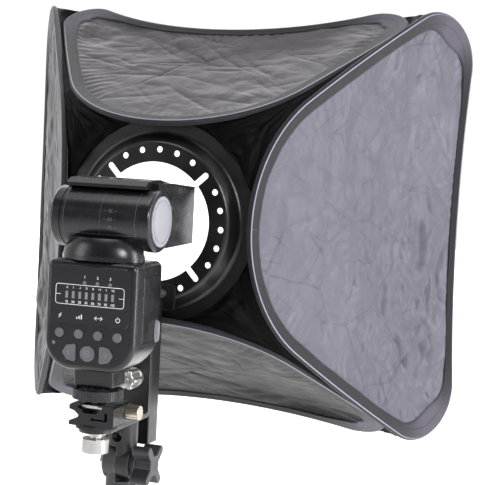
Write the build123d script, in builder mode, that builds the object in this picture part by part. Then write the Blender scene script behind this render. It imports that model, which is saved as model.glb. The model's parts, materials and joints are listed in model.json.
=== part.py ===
"""Small folding softbox on a stamped speed ring, with its flash, shoe bracket and tilt head.

Origin: centre of the stand socket's mouth. +Z is up, +Y is the way the light points, +X is to the
right when seen from behind the flash. Millimetres.
"""
from build123d import *
import os
from math import asin, cos, radians, sin, sqrt

os.makedirs("parts", exist_ok=True)

# ---------------------------------------------------------------- driving dimensions
FIT = 0.05                 # radial clearance of a running fit
GAP = 0.3                  # clearance between neighbours that move or are soft

# tilt head
TUBE_R = 11.5              # outside radius of both halves of the tilt head
SPIGOT_R = 8.1             # bore for a 16 mm stand spigot
SPIGOT_DEPTH = 38.0
TILT_Z = 58.0              # height of the tilt axis
CHEEK_R = 13.0
CHEEK_X = 10.5             # outer face of each cheek
SHOULDER = CHEEK_R + 0.6   # from the tilt axis to the full round of each half
UMBRELLA_R = 4.2
UMBRELLA_Z = 79.0
LOCK_Z = 18.0              # height of the spigot lock screw

# L bracket
LEG_W = 25.0
LEG_T = 3.0
LEG_Z = 90.5               # underside of the horizontal leg
LEG_TOP = 146.0            # top of the upright leg
CHANNEL_Y = 21.0           # rear face of the channel bar
CLAMP_Z = 120.5            # height of the clamp screw

# channel bar
CHANNEL_W = 24.0
CHANNEL_T = 2.0
CHANNEL_BOTTOM = 68.0
CHANNEL_TOP = 178.0

# speed ring
RING_Y = 39.0              # rear face of the perforated plate
RING_Z = 240.0             # height of the ring's centre
RING_T = 1.5
RING_BORE_R = 46.7
RING_PLATE_R = 62.0
RING_R = 80.7
RING_STEP = 11.2           # how far the outer flange lies in front of the plate
HOLE_CIRCLE_R = 56.5
HOLE_R = 2.4
HOLE_COUNT = 24
SLOT_EVERY = 6             # every sixth position is an open slot
RING_TURN = -3.0           # the hole pattern's turn from upright

# softbox
HOOP_Y = RING_Y + 3.0
HOOP_LEAN = radians(31.5)  # angle between a side panel and the light axis
SIDE_HOOP = {"start": 79.5, "rear": (120.0, 56.2), "flank": (2000.0, 4.2), "corner": 42.0, "bow": 6.0}
TOP_HOOP = {"start": 77.5, "rear": (116.0, 61.0), "flank": (2000.0, 3.4), "corner": 22.0, "bow": 31.0}
# start: from the light axis to the hoop's nearest point; rear and flank: radius and turn of each arc;
# corner: radius of the front corners; bow: half angle of the inward bow of the front edge
WIRE_R = 1.5
BINDING_R = 3.2
PANEL_T = 1.0
DIFFUSER_Y = RING_Y + 167.0

# flash
FLASH_Y = -48.0            # the flash's upright axis
BODY_W = 70.0
BODY_REAR = -68.0
BODY_FRONT = -21.0
BODY_BOTTOM = 137.0
BODY_TOP = 215.5
SEAM_Y = -58.0
WALL = 2.2
DRUM_Y = -38.0             # the head's tilt axis
DRUM_Z = 245.0
DRUM_R = 22.0
DRUM_X = 31.0
HEAD_X = 39.0
HEAD_R = 22.5
HEAD_FRONT = RING_Y - 3.0


def save(builder, name):
    """Label a finished sub-part and write it to its own file."""
    builder.part.label = name
    export_step(builder.part, f"parts/{name}.step")


def across(x, y=0.0, z=0.0):
    """A plane facing +X, with its sketch x along +Y and its sketch y along +Z."""
    return Plane(origin=(x, y, z), x_dir=(0, 1, 0), z_dir=(1, 0, 0))


def rearward(y, x=0.0, z=0.0):
    """A plane facing -Y, with its sketch x along +X and its sketch y along +Z."""
    return Plane(origin=(x, y, z), x_dir=(1, 0, 0), z_dir=(0, -1, 0))


def level(z, x=0.0, y=0.0):
    """A plane facing +Z at height z."""
    return Plane(origin=(x, y, z), x_dir=(1, 0, 0), z_dir=(0, 0, 1))


def knurl(radius, depth, count):
    """Cut a row of small grooves into the rim of the disc being sketched."""
    with PolarLocations(radius, count):
        Rectangle(2 * depth, radians(180 / count) * radius, mode=Mode.SUBTRACT)


# ---------------------------------------------------------------- tilt head
with BuildPart() as tilt_socket:
    with BuildSketch(level(0)):
        Circle(TUBE_R)
    extrude(amount=TILT_Z - SHOULDER)
    chamfer(tilt_socket.faces().sort_by(Axis.Z)[0].edges(), 1.0)
    with BuildSketch(level(TILT_Z - SHOULDER)):
        Circle(TUBE_R)
        with Locations((-CHEEK_X / 2, 0)):
            Rectangle(CHEEK_X - 2 * GAP, TUBE_R * 3, mode=Mode.INTERSECT)
    extrude(amount=SHOULDER)
    with BuildSketch(across(-CHEEK_X, 0, TILT_Z)):
        Circle(CHEEK_R)
    extrude(amount=CHEEK_X - GAP)
    with BuildSketch(across(-TUBE_R - 5, 0, LOCK_Z)):
        Circle(7.5)
    extrude(amount=TUBE_R)
    with BuildSketch(level(0)):
        Circle(SPIGOT_R)
    extrude(amount=SPIGOT_DEPTH, mode=Mode.SUBTRACT)
    with BuildSketch(across(-TUBE_R - 6, 0, LOCK_Z)):
        Circle(4 + FIT)
    extrude(amount=TUBE_R, mode=Mode.SUBTRACT)
    with BuildSketch(across(-CHEEK_X - 1, 0, TILT_Z)):
        Circle(4 + FIT)
    extrude(amount=CHEEK_X + 2, mode=Mode.SUBTRACT)
save(tilt_socket, "tilt_socket")

with BuildPart() as tilt_clevis:
    with BuildSketch(level(TILT_Z + SHOULDER)):
        Circle(TUBE_R)
    extrude(amount=LEG_Z - TILT_Z - SHOULDER)
    with BuildSketch(level(TILT_Z)):
        Circle(TUBE_R)
        with Locations((CHEEK_X / 2, 0)):
            Rectangle(CHEEK_X - 2 * GAP, TUBE_R * 3, mode=Mode.INTERSECT)
    extrude(amount=SHOULDER)
    with BuildSketch(across(GAP, 0, TILT_Z)):
        Circle(CHEEK_R)
    extrude(amount=CHEEK_X - GAP)
    with BuildSketch(across(-1, 0, TILT_Z)):
        Circle(4 + FIT)
    extrude(amount=CHEEK_X + 4, mode=Mode.SUBTRACT)
    with BuildSketch(rearward(TUBE_R + 1, 0, UMBRELLA_Z)):
        Circle(UMBRELLA_R)
    extrude(amount=2 * TUBE_R + 2, mode=Mode.SUBTRACT)
    with BuildSketch(across(-TUBE_R - 1, 0, UMBRELLA_Z)):
        Circle(2.5 + FIT)
    extrude(amount=TUBE_R + 1, mode=Mode.SUBTRACT)
    with BuildSketch(level(LEG_Z - 6.5)):
        Circle(4.7)
    extrude(amount=6.5, mode=Mode.SUBTRACT)
save(tilt_clevis, "tilt_clevis")

with BuildPart() as tilt_bolt:
    with BuildSketch(across(-CHEEK_X - 4.5, 0, TILT_Z)):
        RegularPolygon(7.5, 6)
    extrude(amount=4.4)
    with BuildSketch(across(-CHEEK_X - 1, 0, TILT_Z)):
        Circle(4)
    extrude(amount=CHEEK_X + 25)
save(tilt_bolt, "tilt_bolt")

STAR_X = CHEEK_X + 0.5     # inner face of the star knob
STAR_LENGTH = 16.5
WING_TIP = 19.0
WING_T = 7.0
with BuildPart() as star_knob:
    with BuildSketch(across(STAR_X, 0, TILT_Z)):
        Circle(9.5)
    extrude(amount=3)
    with BuildSketch(across(STAR_X + 3, 0, TILT_Z)):
        Circle(8)
        for turn in (38, 128, 218, 308):
            with Locations(Location((0, 0, 0), (0, 0, turn))):
                with Locations((WING_TIP / 2, 0)):
                    SlotOverall(WING_TIP, WING_T)
    extrude(amount=STAR_LENGTH - 3)
    fillet(star_knob.faces().sort_by(Axis.X)[-1].edges(), 1.0)
    with BuildSketch(across(STAR_X - 1, 0, TILT_Z)):
        Circle(4 + FIT)
    extrude(amount=STAR_LENGTH - 1.5, mode=Mode.SUBTRACT)
save(star_knob, "star_knob")

with BuildPart() as spigot_lock:
    with BuildSketch(across(-SPIGOT_R - 0.4, 0, LOCK_Z)):
        Circle(4)
    extrude(amount=-12)
    with BuildSketch(across(-TUBE_R - 5.3, 0, LOCK_Z)):
        Circle(8)
        with PolarLocations(8, 5):
            Circle(4)
    extrude(amount=-15)
    fillet(spigot_lock.faces().sort_by(Axis.X)[0].edges(), 1.5)
save(spigot_lock, "spigot_lock")

with BuildPart() as umbrella_lock:
    with BuildSketch(across(-UMBRELLA_R - 0.4, 0, UMBRELLA_Z)):
        Circle(2.5)
    extrude(amount=-9)
    with BuildSketch(across(-TUBE_R - 0.8, 0, UMBRELLA_Z)):
        Circle(5.5)
        knurl(5.5, 0.4, 20)
    extrude(amount=-6.5)
save(umbrella_lock, "umbrella_lock")

# ---------------------------------------------------------------- L bracket and clamp
LEG_END = FLASH_Y          # centre of the horizontal leg's round end
with BuildPart() as l_bracket:
    with BuildSketch(across(-LEG_W / 2)):
        with BuildLine():
            FilletPolyline((LEG_END, LEG_Z), (CHANNEL_Y, LEG_Z), (CHANNEL_Y, LEG_TOP), radius=5)
            Line((CHANNEL_Y, LEG_TOP), (CHANNEL_Y - LEG_T, LEG_TOP))
            FilletPolyline((CHANNEL_Y - LEG_T, LEG_TOP), (CHANNEL_Y - LEG_T, LEG_Z + LEG_T),
                           (LEG_END, LEG_Z + LEG_T), radius=2)
            Line((LEG_END, LEG_Z + LEG_T), (LEG_END, LEG_Z))
        make_face()
    extrude(amount=LEG_W)
    with BuildSketch(level(LEG_Z, 0, LEG_END)):
        Circle(LEG_W / 2)
    extrude(amount=LEG_T)
    fillet(l_bracket.edges().filter_by(Axis.Y).group_by(Axis.Z)[-1], 4)
    with BuildSketch(level(LEG_Z)):
        Circle(4.9)
        with Locations((0, FLASH_Y)):
            Circle(3.4)
    extrude(amount=LEG_T, mode=Mode.SUBTRACT)
    with BuildSketch(rearward(CHANNEL_Y, 0, CLAMP_Z)):
        Circle(3.3)
    extrude(amount=LEG_T, mode=Mode.SUBTRACT)
save(l_bracket, "l_bracket")

with BuildPart() as mount_stud:
    with BuildSketch(level(LEG_Z - 6.3)):
        Circle(4.6)
    extrude(amount=6.3 + LEG_T)
    with BuildSketch(level(LEG_Z + LEG_T)):
        Circle(8)
    extrude(amount=2.6)
    fillet(mount_stud.faces().sort_by(Axis.Z)[-1].edges(), 1.5)
    with BuildSketch(level(LEG_Z + LEG_T + 2.6)):
        RegularPolygon(3, 6)
    extrude(amount=-1.6, mode=Mode.SUBTRACT)
save(mount_stud, "mount_stud")

CLAMP_END = CHANNEL_Y - LEG_T - 21.0      # rear end of the clamp screw
with BuildPart() as clamp_screw:
    with BuildSketch(rearward(CHANNEL_Y + CHANNEL_T, 0, CLAMP_Z)):
        Circle(3)
    extrude(amount=CHANNEL_Y + CHANNEL_T - CLAMP_END)
    with BuildSketch(rearward(CHANNEL_Y + CHANNEL_T + 4.2, 0, CLAMP_Z)):
        RectangleRounded(16, 16, 2)
    extrude(amount=4)
save(clamp_screw, "clamp_screw")

with BuildPart() as clamp_knob:
    with BuildSketch(rearward(CHANNEL_Y - LEG_T - 0.2, 0, CLAMP_Z)):
        Circle(7.5)
    extrude(amount=2)
    with BuildSketch(rearward(CHANNEL_Y - LEG_T - 2.2, 0, CLAMP_Z)):
        Circle(6.5)
        with PolarLocations(6.5, 6):
            Circle(1.7)
    extrude(amount=16)
    fillet(clamp_knob.faces().sort_by(Axis.Y)[0].edges(), 0.8)
    with BuildSketch(rearward(CHANNEL_Y - LEG_T, 0, CLAMP_Z)):
        Circle(3 + FIT)
    extrude(amount=20, mode=Mode.SUBTRACT)
save(clamp_knob, "clamp_knob")

# ---------------------------------------------------------------- channel bar
EAR_X = 22.0               # half width of the ears that meet the ring
EAR_Z = (172.0, 192.0)
SCREW_ANGLES = (255 + RING_TURN, 285 + RING_TURN)
SCREW_POINTS = [(HOLE_CIRCLE_R * cos(radians(a)), RING_Z + HOLE_CIRCLE_R * sin(radians(a)))
                for a in SCREW_ANGLES]
with BuildPart() as channel_bar:
    with BuildSketch(level(CHANNEL_BOTTOM, 0, (CHANNEL_Y + RING_Y) / 2)):
        RectangleRounded(CHANNEL_W, RING_Y - CHANNEL_Y, 1.2)
        with Locations((0, CHANNEL_T)):
            Rectangle(CHANNEL_W - 2 * CHANNEL_T, RING_Y - CHANNEL_Y, mode=Mode.SUBTRACT)
    extrude(amount=CHANNEL_TOP - CHANNEL_BOTTOM)
    with BuildSketch(rearward(RING_Y, 0, sum(EAR_Z) / 2)):
        RectangleRounded(2 * EAR_X, EAR_Z[1] - EAR_Z[0], 3)
    extrude(amount=CHANNEL_T)
    with BuildSketch(rearward(RING_Y)):
        with Locations(*SCREW_POINTS):
            Circle(HOLE_R)
    extrude(amount=CHANNEL_T, mode=Mode.SUBTRACT)
    with BuildSketch(rearward(CHANNEL_Y + CHANNEL_T, 0, CLAMP_Z + 3)):
        SlotOverall(98, 7, rotation=90)
    extrude(amount=CHANNEL_T, mode=Mode.SUBTRACT)
save(channel_bar, "channel_bar")

with BuildPart() as ring_fasteners:
    with BuildSketch(rearward(RING_Y - CHANNEL_T)):
        with Locations(*SCREW_POINTS):
            Circle(3.2)
    extrude(amount=2)
    with BuildSketch(rearward(RING_Y + RING_T + 3.2)):
        with Locations(*SCREW_POINTS):
            Circle(HOLE_R - 0.1)
    extrude(amount=RING_T + 3.2 + CHANNEL_T)
    with BuildSketch(rearward(RING_Y + RING_T + 2.6)):
        with Locations(*SCREW_POINTS):
            RegularPolygon(3.6, 6)
    extrude(amount=2.5)
save(ring_fasteners, "ring_fasteners")

# ---------------------------------------------------------------- speed ring
LIGHT_AXIS = Axis((0, RING_Y, RING_Z), (0, 1, 0))
STEP_R = RING_PLATE_R + 7.0
with BuildPart() as speed_ring:
    with BuildSketch(Plane(origin=(0, RING_Y, RING_Z), x_dir=(1, 0, 0), z_dir=(0, 0, 1))):
        with BuildLine():
            outer = FilletPolyline((RING_BORE_R, 0), (RING_PLATE_R, 0), (STEP_R, RING_STEP), (RING_R, RING_STEP),
                                   radius=4)
            offset(outer, amount=RING_T, side=Side.LEFT, closed=True)
        make_face()
    revolve(axis=LIGHT_AXIS)
    fillet(speed_ring.edges().filter_by(GeomType.CIRCLE).group_by(SortBy.RADIUS)[-1], 0.5)
    with BuildSketch(rearward(RING_Y + 2 * RING_T, 0, RING_Z)):
        for i in range(HOLE_COUNT):
            angle = 360 / HOLE_COUNT * i + RING_TURN
            with Locations(Location((0, 0, 0), (0, 0, angle))):
                if i % SLOT_EVERY == SLOT_EVERY // 2:
                    with Locations(((RING_BORE_R + HOLE_CIRCLE_R) / 2, 0)):
                        SlotCenterToCenter(HOLE_CIRCLE_R - RING_BORE_R, 2 * HOLE_R)
                else:
                    with Locations((HOLE_CIRCLE_R, 0)):
                        Circle(HOLE_R)
    extrude(amount=3 * RING_T, mode=Mode.SUBTRACT)
save(speed_ring, "speed_ring")

SLEEVE_Y = RING_Y + RING_STEP + RING_T    # front face of the flange, where the cloth lies
CLAMP_BORE_R = 71.5
CLAMP_SCREWS = 8
with BuildPart() as ring_sleeve:
    with BuildSketch(rearward(SLEEVE_Y + 1, 0, RING_Z)):
        Circle(82)
        Circle(CLAMP_BORE_R + 1, mode=Mode.SUBTRACT)
        with PolarLocations(75.5, CLAMP_SCREWS):
            Circle(1.8, mode=Mode.SUBTRACT)
    extrude(amount=1)
save(ring_sleeve, "ring_sleeve")

with BuildPart() as clamp_ring:
    with BuildSketch(rearward(SLEEVE_Y + 3, 0, RING_Z)):
        Circle(79)
        Circle(CLAMP_BORE_R, mode=Mode.SUBTRACT)
        with PolarLocations(75.5, CLAMP_SCREWS):
            Circle(1.6, mode=Mode.SUBTRACT)
    extrude(amount=2)
save(clamp_ring, "clamp_ring")

with BuildPart() as clamp_studs:
    with BuildSketch(rearward(SLEEVE_Y + 5.5, 0, RING_Z)):
        with PolarLocations(75.5, CLAMP_SCREWS):
            Circle(1.5)
    extrude(amount=5.5)
    with BuildSketch(rearward(SLEEVE_Y + 5, 0, RING_Z)):
        with PolarLocations(75.5, CLAMP_SCREWS):
            RegularPolygon(3, 6)
    extrude(amount=2)
save(clamp_studs, "clamp_studs")

# ---------------------------------------------------------------- softbox


def hoop_plane(turn, hoop):
    """The plane of one side's hoop, turned about the light axis: sketch x runs from the ring to the
    front, sketch y runs across the panel."""
    away = Vector(cos(radians(turn)), 0, sin(radians(turn)))
    forward = Vector(0, 1, 0)
    run = away * sin(HOOP_LEAN) + forward * cos(HOOP_LEAN)
    across_panel = Vector(-sin(radians(turn)), 0, cos(radians(turn)))
    start = Vector(0, HOOP_Y, RING_Z) + away * hoop["start"]
    return Plane(origin=start, x_dir=run, z_dir=run.cross(across_panel))


def hoop_outline(hoop, inset=0.0):
    """A hoop's closed outline as tangent arcs, from its rear point round by the front edge."""
    rear_turn = hoop["rear"][1]
    flank_turn = hoop["flank"][1]
    arcs = [(hoop["rear"][0] - inset, -rear_turn), (hoop["flank"][0] - inset, -flank_turn),
            (hoop["corner"] - inset, rear_turn + flank_turn - hoop["bow"] - 180)]
    edge = None
    for radius, turned in arcs:
        edge = JernArc(edge @ 1 if edge else (inset, 0), edge % 1 if edge else (0, 1), radius, turned)
    bow_r = (edge @ 1).Y / sin(radians(hoop["bow"]))
    for radius, turned in [(bow_r, 2 * hoop["bow"])] + arcs[::-1]:
        edge = JernArc(edge @ 1, edge % 1, radius, turned)


SIDES = {"right": (0, SIDE_HOOP), "top": (90, TOP_HOOP), "left": (180, SIDE_HOOP), "bottom": (270, TOP_HOOP)}
with BuildLine() as side_centre:
    hoop_outline(SIDE_HOOP)
with BuildLine() as top_centre:
    hoop_outline(TOP_HOOP)
CENTRES = {"right": side_centre, "top": top_centre, "left": side_centre, "bottom": top_centre}

with BuildPart() as hoop_wires:
    for side_name, (turn, hoop) in SIDES.items():
        plane = hoop_plane(turn, hoop)
        with BuildSketch(Plane(origin=plane.origin, x_dir=plane.x_dir, z_dir=plane.y_dir)):
            Circle(WIRE_R)
        sweep(path=plane.location * CENTRES[side_name].wire())
save(hoop_wires, "hoop_wires")

for side_name, (turn, hoop) in SIDES.items():
    plane = hoop_plane(turn, hoop)
    with BuildPart() as binding:
        path = plane.location * CENTRES[side_name].wire()
        with BuildSketch(Plane(origin=plane.origin, x_dir=plane.x_dir, z_dir=plane.y_dir)):
            Circle(BINDING_R)
        sweep(path=path)
        with BuildSketch(Plane(origin=plane.origin, x_dir=plane.x_dir, z_dir=plane.y_dir)):
            Circle(WIRE_R + FIT)
        sweep(path=path, mode=Mode.SUBTRACT)
    save(binding, f"binding_{side_name}")

    with BuildPart() as panel:
        with BuildSketch(plane.offset(-PANEL_T / 2)):
            with BuildLine():
                hoop_outline(hoop, BINDING_R + GAP)
            make_face()
        extrude(amount=PANEL_T)
    save(panel, f"panel_{side_name}")


def rear_arc_point(turn, hoop, turned):
    """A point of a hoop's rear arc and the arc's direction there; a negative turn is on its other half."""
    plane = hoop_plane(turn, hoop)
    radius = hoop["rear"][0]
    along = plane.x_dir * radius * (1 - cos(radians(turned)))
    over = plane.y_dir * radius * sin(radians(turned))
    heading = plane.x_dir * sin(radians(abs(turned))) + plane.y_dir * cos(radians(turned)) * (turned / abs(turned))
    return plane.origin + along + over, heading


def gusset_section(first, second, turned):
    """The plane and width of the section of the gusset between two neighbouring hoops."""
    a, a_heading = rear_arc_point(*first, turned)
    b, b_heading = rear_arc_point(*second, -turned)
    chord = (b - a).normalized()
    heading = a_heading + b_heading
    heading = heading - chord * heading.dot(chord)
    return Plane(origin=(a + b) * 0.5, x_dir=chord, z_dir=heading), (b - a).length - 2 * (BINDING_R + 1)


GUSSET_TURNS = (17, 23, 29, 35, 41, 46, 49)
with BuildPart() as corner_gussets:
    around = list(SIDES.values())
    for i in range(4):
        for turned in GUSSET_TURNS:
            section, width = gusset_section(around[i], around[(i + 1) % 4], turned)
            with BuildSketch(section):
                Rectangle(width, 1.0)
        loft(ruled=True)
save(corner_gussets, "corner_gussets")

DIFFUSER_HALF = 168.0
with BuildPart() as diffuser:
    with BuildSketch(rearward(DIFFUSER_Y, 0, RING_Z)):
        RectangleRounded(2 * DIFFUSER_HALF, 2 * DIFFUSER_HALF, 40)
    extrude(amount=1.2)
save(diffuser, "diffuser")

with BuildPart() as diffuser_border:
    with BuildSketch(rearward(DIFFUSER_Y + 1.5, 0, RING_Z)):
        RectangleRounded(2 * DIFFUSER_HALF, 2 * DIFFUSER_HALF, 40)
        RectangleRounded(2 * DIFFUSER_HALF - 40, 2 * DIFFUSER_HALF - 40, 24, mode=Mode.SUBTRACT)
    extrude(amount=1.5)
save(diffuser_border, "diffuser_border")

# ---------------------------------------------------------------- shoe adapter
ADAPTER_Z = LEG_Z + LEG_T + 2.5           # underside of the block, on the grip disc
ADAPTER_TOP = 112.0
ADAPTER_REAR = FLASH_Y - 13.0
ADAPTER_FRONT = FLASH_Y + 16.0
SHOE_Z = 108.5                            # floor of the shoe
with BuildPart() as grip_disc:
    with BuildSketch(level(LEG_Z + LEG_T, 0, FLASH_Y)):
        Circle(15)
        knurl(15, 0.4, 48)
        Circle(3.4, mode=Mode.SUBTRACT)
    extrude(amount=2.5)
save(grip_disc, "grip_disc")

with BuildPart() as shoe_adapter:
    with BuildSketch(rearward(ADAPTER_FRONT)):
        with BuildLine():
            Polyline((-16, 96), (17.5, 96), (19, 97.5), (19, 110.5), (17.5, 112), (6.4, 112), (6.4, 110.8),
                     (9.6, 110.8), (9.6, 108.5), (7.4, 108.5), (4.6, 105.4), (-4.6, 105.4), (-7.4, 108.5),
                     (-9.6, 108.5), (-9.6, 110.8), (-6.4, 110.8), (-6.4, 112), (-14, 112), (-16, 110.5),
                     (-16, 107.6), (-12, 106.6), (-8.5, 103.6), (-9.5, 101.8), (-16, 99), (-16, 96))
        make_face()
        with Locations((13, 104)):
            Rectangle(2, 6, mode=Mode.SUBTRACT)
        with Locations((8, 101.4)):
            Rectangle(12, 1.2, mode=Mode.SUBTRACT)
        with Locations((2.4, 101.4)):
            Circle(1.1, mode=Mode.SUBTRACT)
    extrude(amount=ADAPTER_FRONT - ADAPTER_REAR)
    with BuildSketch(level(ADAPTER_Z, 0, FLASH_Y)):
        Circle(3.1 + FIT)
    extrude(amount=8, mode=Mode.SUBTRACT)
    with BuildSketch(across(11, FLASH_Y + 11, 105)):
        Circle(2 + FIT)
    extrude(amount=9, mode=Mode.SUBTRACT)
save(shoe_adapter, "shoe_adapter")

with BuildPart() as side_screw:
    with BuildSketch(across(12.5, FLASH_Y + 11, 105)):
        Circle(2)
    extrude(amount=8)
    with BuildSketch(across(19.3, FLASH_Y + 11, 105)):
        Circle(5.5)
        knurl(5.5, 0.5, 14)
    extrude(amount=10)
    fillet(side_screw.faces().sort_by(Axis.X)[-1].edges(), 0.4)
save(side_screw, "side_screw")

with BuildPart() as thumb_screw:
    with BuildSketch(level(75.4, 0, FLASH_Y)):
        Circle(9.75)
        knurl(9.75, 0.35, 40)
    extrude(amount=10)
    with BuildSketch(level(84, 0, FLASH_Y)):
        Circle(8.4)
        Circle(5, mode=Mode.SUBTRACT)
    extrude(amount=1.4, mode=Mode.SUBTRACT)
    with BuildSketch(level(80, 0, FLASH_Y)):
        Circle(5)
    extrude(amount=LEG_Z - 80.2)
    with BuildSketch(level(85, 0, FLASH_Y)):
        Circle(3.1)
    extrude(amount=18)
save(thumb_screw, "thumb_screw")

# ---------------------------------------------------------------- flash body
with BuildPart() as shoe_plate:
    with BuildSketch(level(SHOE_Z + 0.1, 0, FLASH_Y)):
        RectangleRounded(18.6, 18, 1.5)
        Circle(5.0, mode=Mode.SUBTRACT)
    extrude(amount=2)
    with BuildSketch(level(SHOE_Z - 0.6, 0, FLASH_Y)):
        with Locations((-5.6, -6.4), (5.6, -6.4)):
            Circle(0.9)
    extrude(amount=1.2)
save(shoe_plate, "shoe_plate")

NECK_X = 15.5
NECK_Z = 123.5
with BuildPart() as flash_foot:
    with BuildSketch(across(-NECK_X)):
        with BuildLine():
            Polyline((FLASH_Y - 9, NECK_Z), (FLASH_Y + 13, NECK_Z), (FLASH_Y + 14, 147), (FLASH_Y + 4, BODY_BOTTOM),
                     (FLASH_Y - 10, BODY_BOTTOM), (FLASH_Y - 9, NECK_Z))
        make_face()
    extrude(amount=2 * NECK_X)
    fillet(flash_foot.edges().filter_by(Axis.X).group_by(Axis.Z)[0], 2)
    fillet(flash_foot.faces().sort_by(Axis.Y)[0].edges().filter_by(Axis.Z, tolerance=8), 2)
    with BuildSketch(level(SHOE_Z + 2.1, 0, FLASH_Y)):
        Circle(6)
    extrude(amount=NECK_Z + 1 - SHOE_Z - 2.1)
    with BuildSketch(level(SHOE_Z + 0.1, 0, FLASH_Y)):
        Circle(5)
    extrude(amount=4)
save(flash_foot, "flash_foot")

with BuildPart() as lock_wheel:
    with BuildSketch(level(115.2, 0, FLASH_Y)):
        Circle(18.5)
        knurl(18.5, 0.5, 60)
        Circle(6 + FIT, mode=Mode.SUBTRACT)
    extrude(amount=6.8)
    with BuildSketch(level(120.5, 0, FLASH_Y)):
        Circle(16.2)
        Circle(9, mode=Mode.SUBTRACT)
    extrude(amount=2, mode=Mode.SUBTRACT)
save(lock_wheel, "lock_wheel")

BODY_MID_Z = (BODY_TOP + BODY_BOTTOM) / 2
BODY_H = BODY_TOP - BODY_BOTTOM
BUTTON_Z = 163.3
BUTTON_R = 3.4
PAD_Z = 149.8
PAD_R = 5.7
ARROW_X = 13.8
ROUND_X = {"pilot": -22.5, "mode": -7.5, "zoom": 7.5, "power": 22.5}
LED_X = (-4.3, 5.7, 15.5)
LED_Z = 200.0
SPOT = (-27.0, 155.6)


def body_outline(inset):
    """The flash body's outline seen from behind, with wide bottom corners."""
    with BuildSketch(Plane.XY) as outline:
        Rectangle(BODY_W - 2 * inset, BODY_H - 2 * inset)
        fillet(outline.vertices().group_by(Axis.Y)[0], 21 - inset)
        fillet(outline.vertices().group_by(Axis.Y)[-1], 5 - inset)
    return outline.sketch


def arrow_outline(side, grow=0.0):
    """A D-shaped arrow button, pointing outwards."""
    with BuildSketch(Plane.XY) as outline:
        with BuildLine():
            FilletPolyline((-side * 4.6, 6.6), (-side * 4.6, -6.6), (side * 2.5, -5.2), (side * 6, 0),
                           (side * 2.5, 5.2), close=True, radius=1.6)
        make_face()
        offset(amount=grow)
    return outline.sketch


with BuildPart() as rear_shell:
    with BuildSketch(rearward(SEAM_Y, 0, BODY_MID_Z)):
        add(body_outline(0))
    extrude(amount=SEAM_Y - BODY_REAR)
    fillet(rear_shell.faces().sort_by(Axis.Y)[0].edges(), 4)
    with BuildSketch(rearward(SEAM_Y, 0, BODY_MID_Z)):
        add(body_outline(WALL))
    extrude(amount=SEAM_Y - BODY_REAR - WALL, mode=Mode.SUBTRACT)
    with BuildSketch(rearward(BODY_REAR + WALL + 1)):
        with Locations(*[(x, BUTTON_Z) for x in ROUND_X.values()]):
            Circle(BUTTON_R + 0.25)
        with Locations((0, PAD_Z)):
            Circle(PAD_R + 0.25)
        for side in (-1, 1):
            with Locations((side * ARROW_X, PAD_Z)):
                add(arrow_outline(side, 0.25))
        with Locations(SPOT):
            Circle(1.4)
        with Locations(*[(x, LED_Z) for x in LED_X]):
            Circle(1.5)
    extrude(amount=WALL + 2, mode=Mode.SUBTRACT)
save(rear_shell, "rear_shell")

DOOR_Y = (-54.0, -25.0)
DOOR_Z = (158.0, 206.0)
DOOR_T = 2.0
HINGE_Y = DOOR_Y[0] + GAP + DOOR_T / 2     # the door turns on its rounded rear edge
PIN_R = 9.0                 # the head's swivel spigot


def body_block(inset):
    """The front part of the flash body, cut away under its front, all round smaller by the inset."""
    with BuildPart() as block:
        with BuildSketch(rearward(BODY_FRONT - inset, 0, BODY_MID_Z)):
            add(body_outline(inset))
        extrude(amount=BODY_FRONT - inset - SEAM_Y)
        fillet(block.faces().sort_by(Axis.Y)[-1].edges(), 2.5)
        with BuildSketch(across(-BODY_W)):
            with BuildLine():
                Polyline((FLASH_Y + 4, BODY_BOTTOM + inset), (BODY_FRONT + 1, BODY_BOTTOM + inset),
                         (BODY_FRONT + 1, BODY_BOTTOM + 24 + inset), (FLASH_Y + 4, BODY_BOTTOM + inset))
            make_face()
        extrude(amount=2 * BODY_W, mode=Mode.SUBTRACT)
    return block.part


with BuildPart() as front_shell:
    add(body_block(0))
    add(body_block(WALL), mode=Mode.SUBTRACT)
    with BuildSketch(level(BODY_TOP - WALL - 1, 0, FLASH_Y)):
        Circle(PIN_R + FIT)
    extrude(amount=WALL + 2, mode=Mode.SUBTRACT)
    with BuildSketch(across(BODY_W / 2 - WALL - 1, sum(DOOR_Y) / 2, sum(DOOR_Z) / 2)):
        Rectangle(DOOR_Y[1] - DOOR_Y[0], DOOR_Z[1] - DOOR_Z[0])
    extrude(amount=WALL + 2, mode=Mode.SUBTRACT)
save(front_shell, "front_shell")

LATCH_Y = -29.5
LATCH_Z = 165.0
with BuildPart() as battery_door:
    with BuildSketch(across(BODY_W / 2 - DOOR_T, (HINGE_Y + DOOR_Y[1] - GAP) / 2, sum(DOOR_Z) / 2)):
        Rectangle(DOOR_Y[1] - GAP - HINGE_Y, DOOR_Z[1] - DOOR_Z[0] - 2 * GAP)
    extrude(amount=DOOR_T)
    with BuildSketch(level(DOOR_Z[0] + GAP, BODY_W / 2 - DOOR_T / 2, HINGE_Y)):
        Circle(DOOR_T / 2)
    extrude(amount=DOOR_Z[1] - DOOR_Z[0] - 2 * GAP)
    with BuildSketch(across(BODY_W / 2)):
        with Locations(*[(DOOR_Y[0] + 6, LATCH_Z - 6 + 3.6 * i) for i in range(7)]):
            Rectangle(5, 0.7)
    extrude(amount=-0.3, mode=Mode.SUBTRACT)
    with BuildSketch(across(BODY_W / 2 - DOOR_T, LATCH_Y, LATCH_Z - 1)):
        SlotOverall(9, 3.4, rotation=90)
    extrude(amount=DOOR_T, mode=Mode.SUBTRACT)
save(battery_door, "battery_door")

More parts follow.
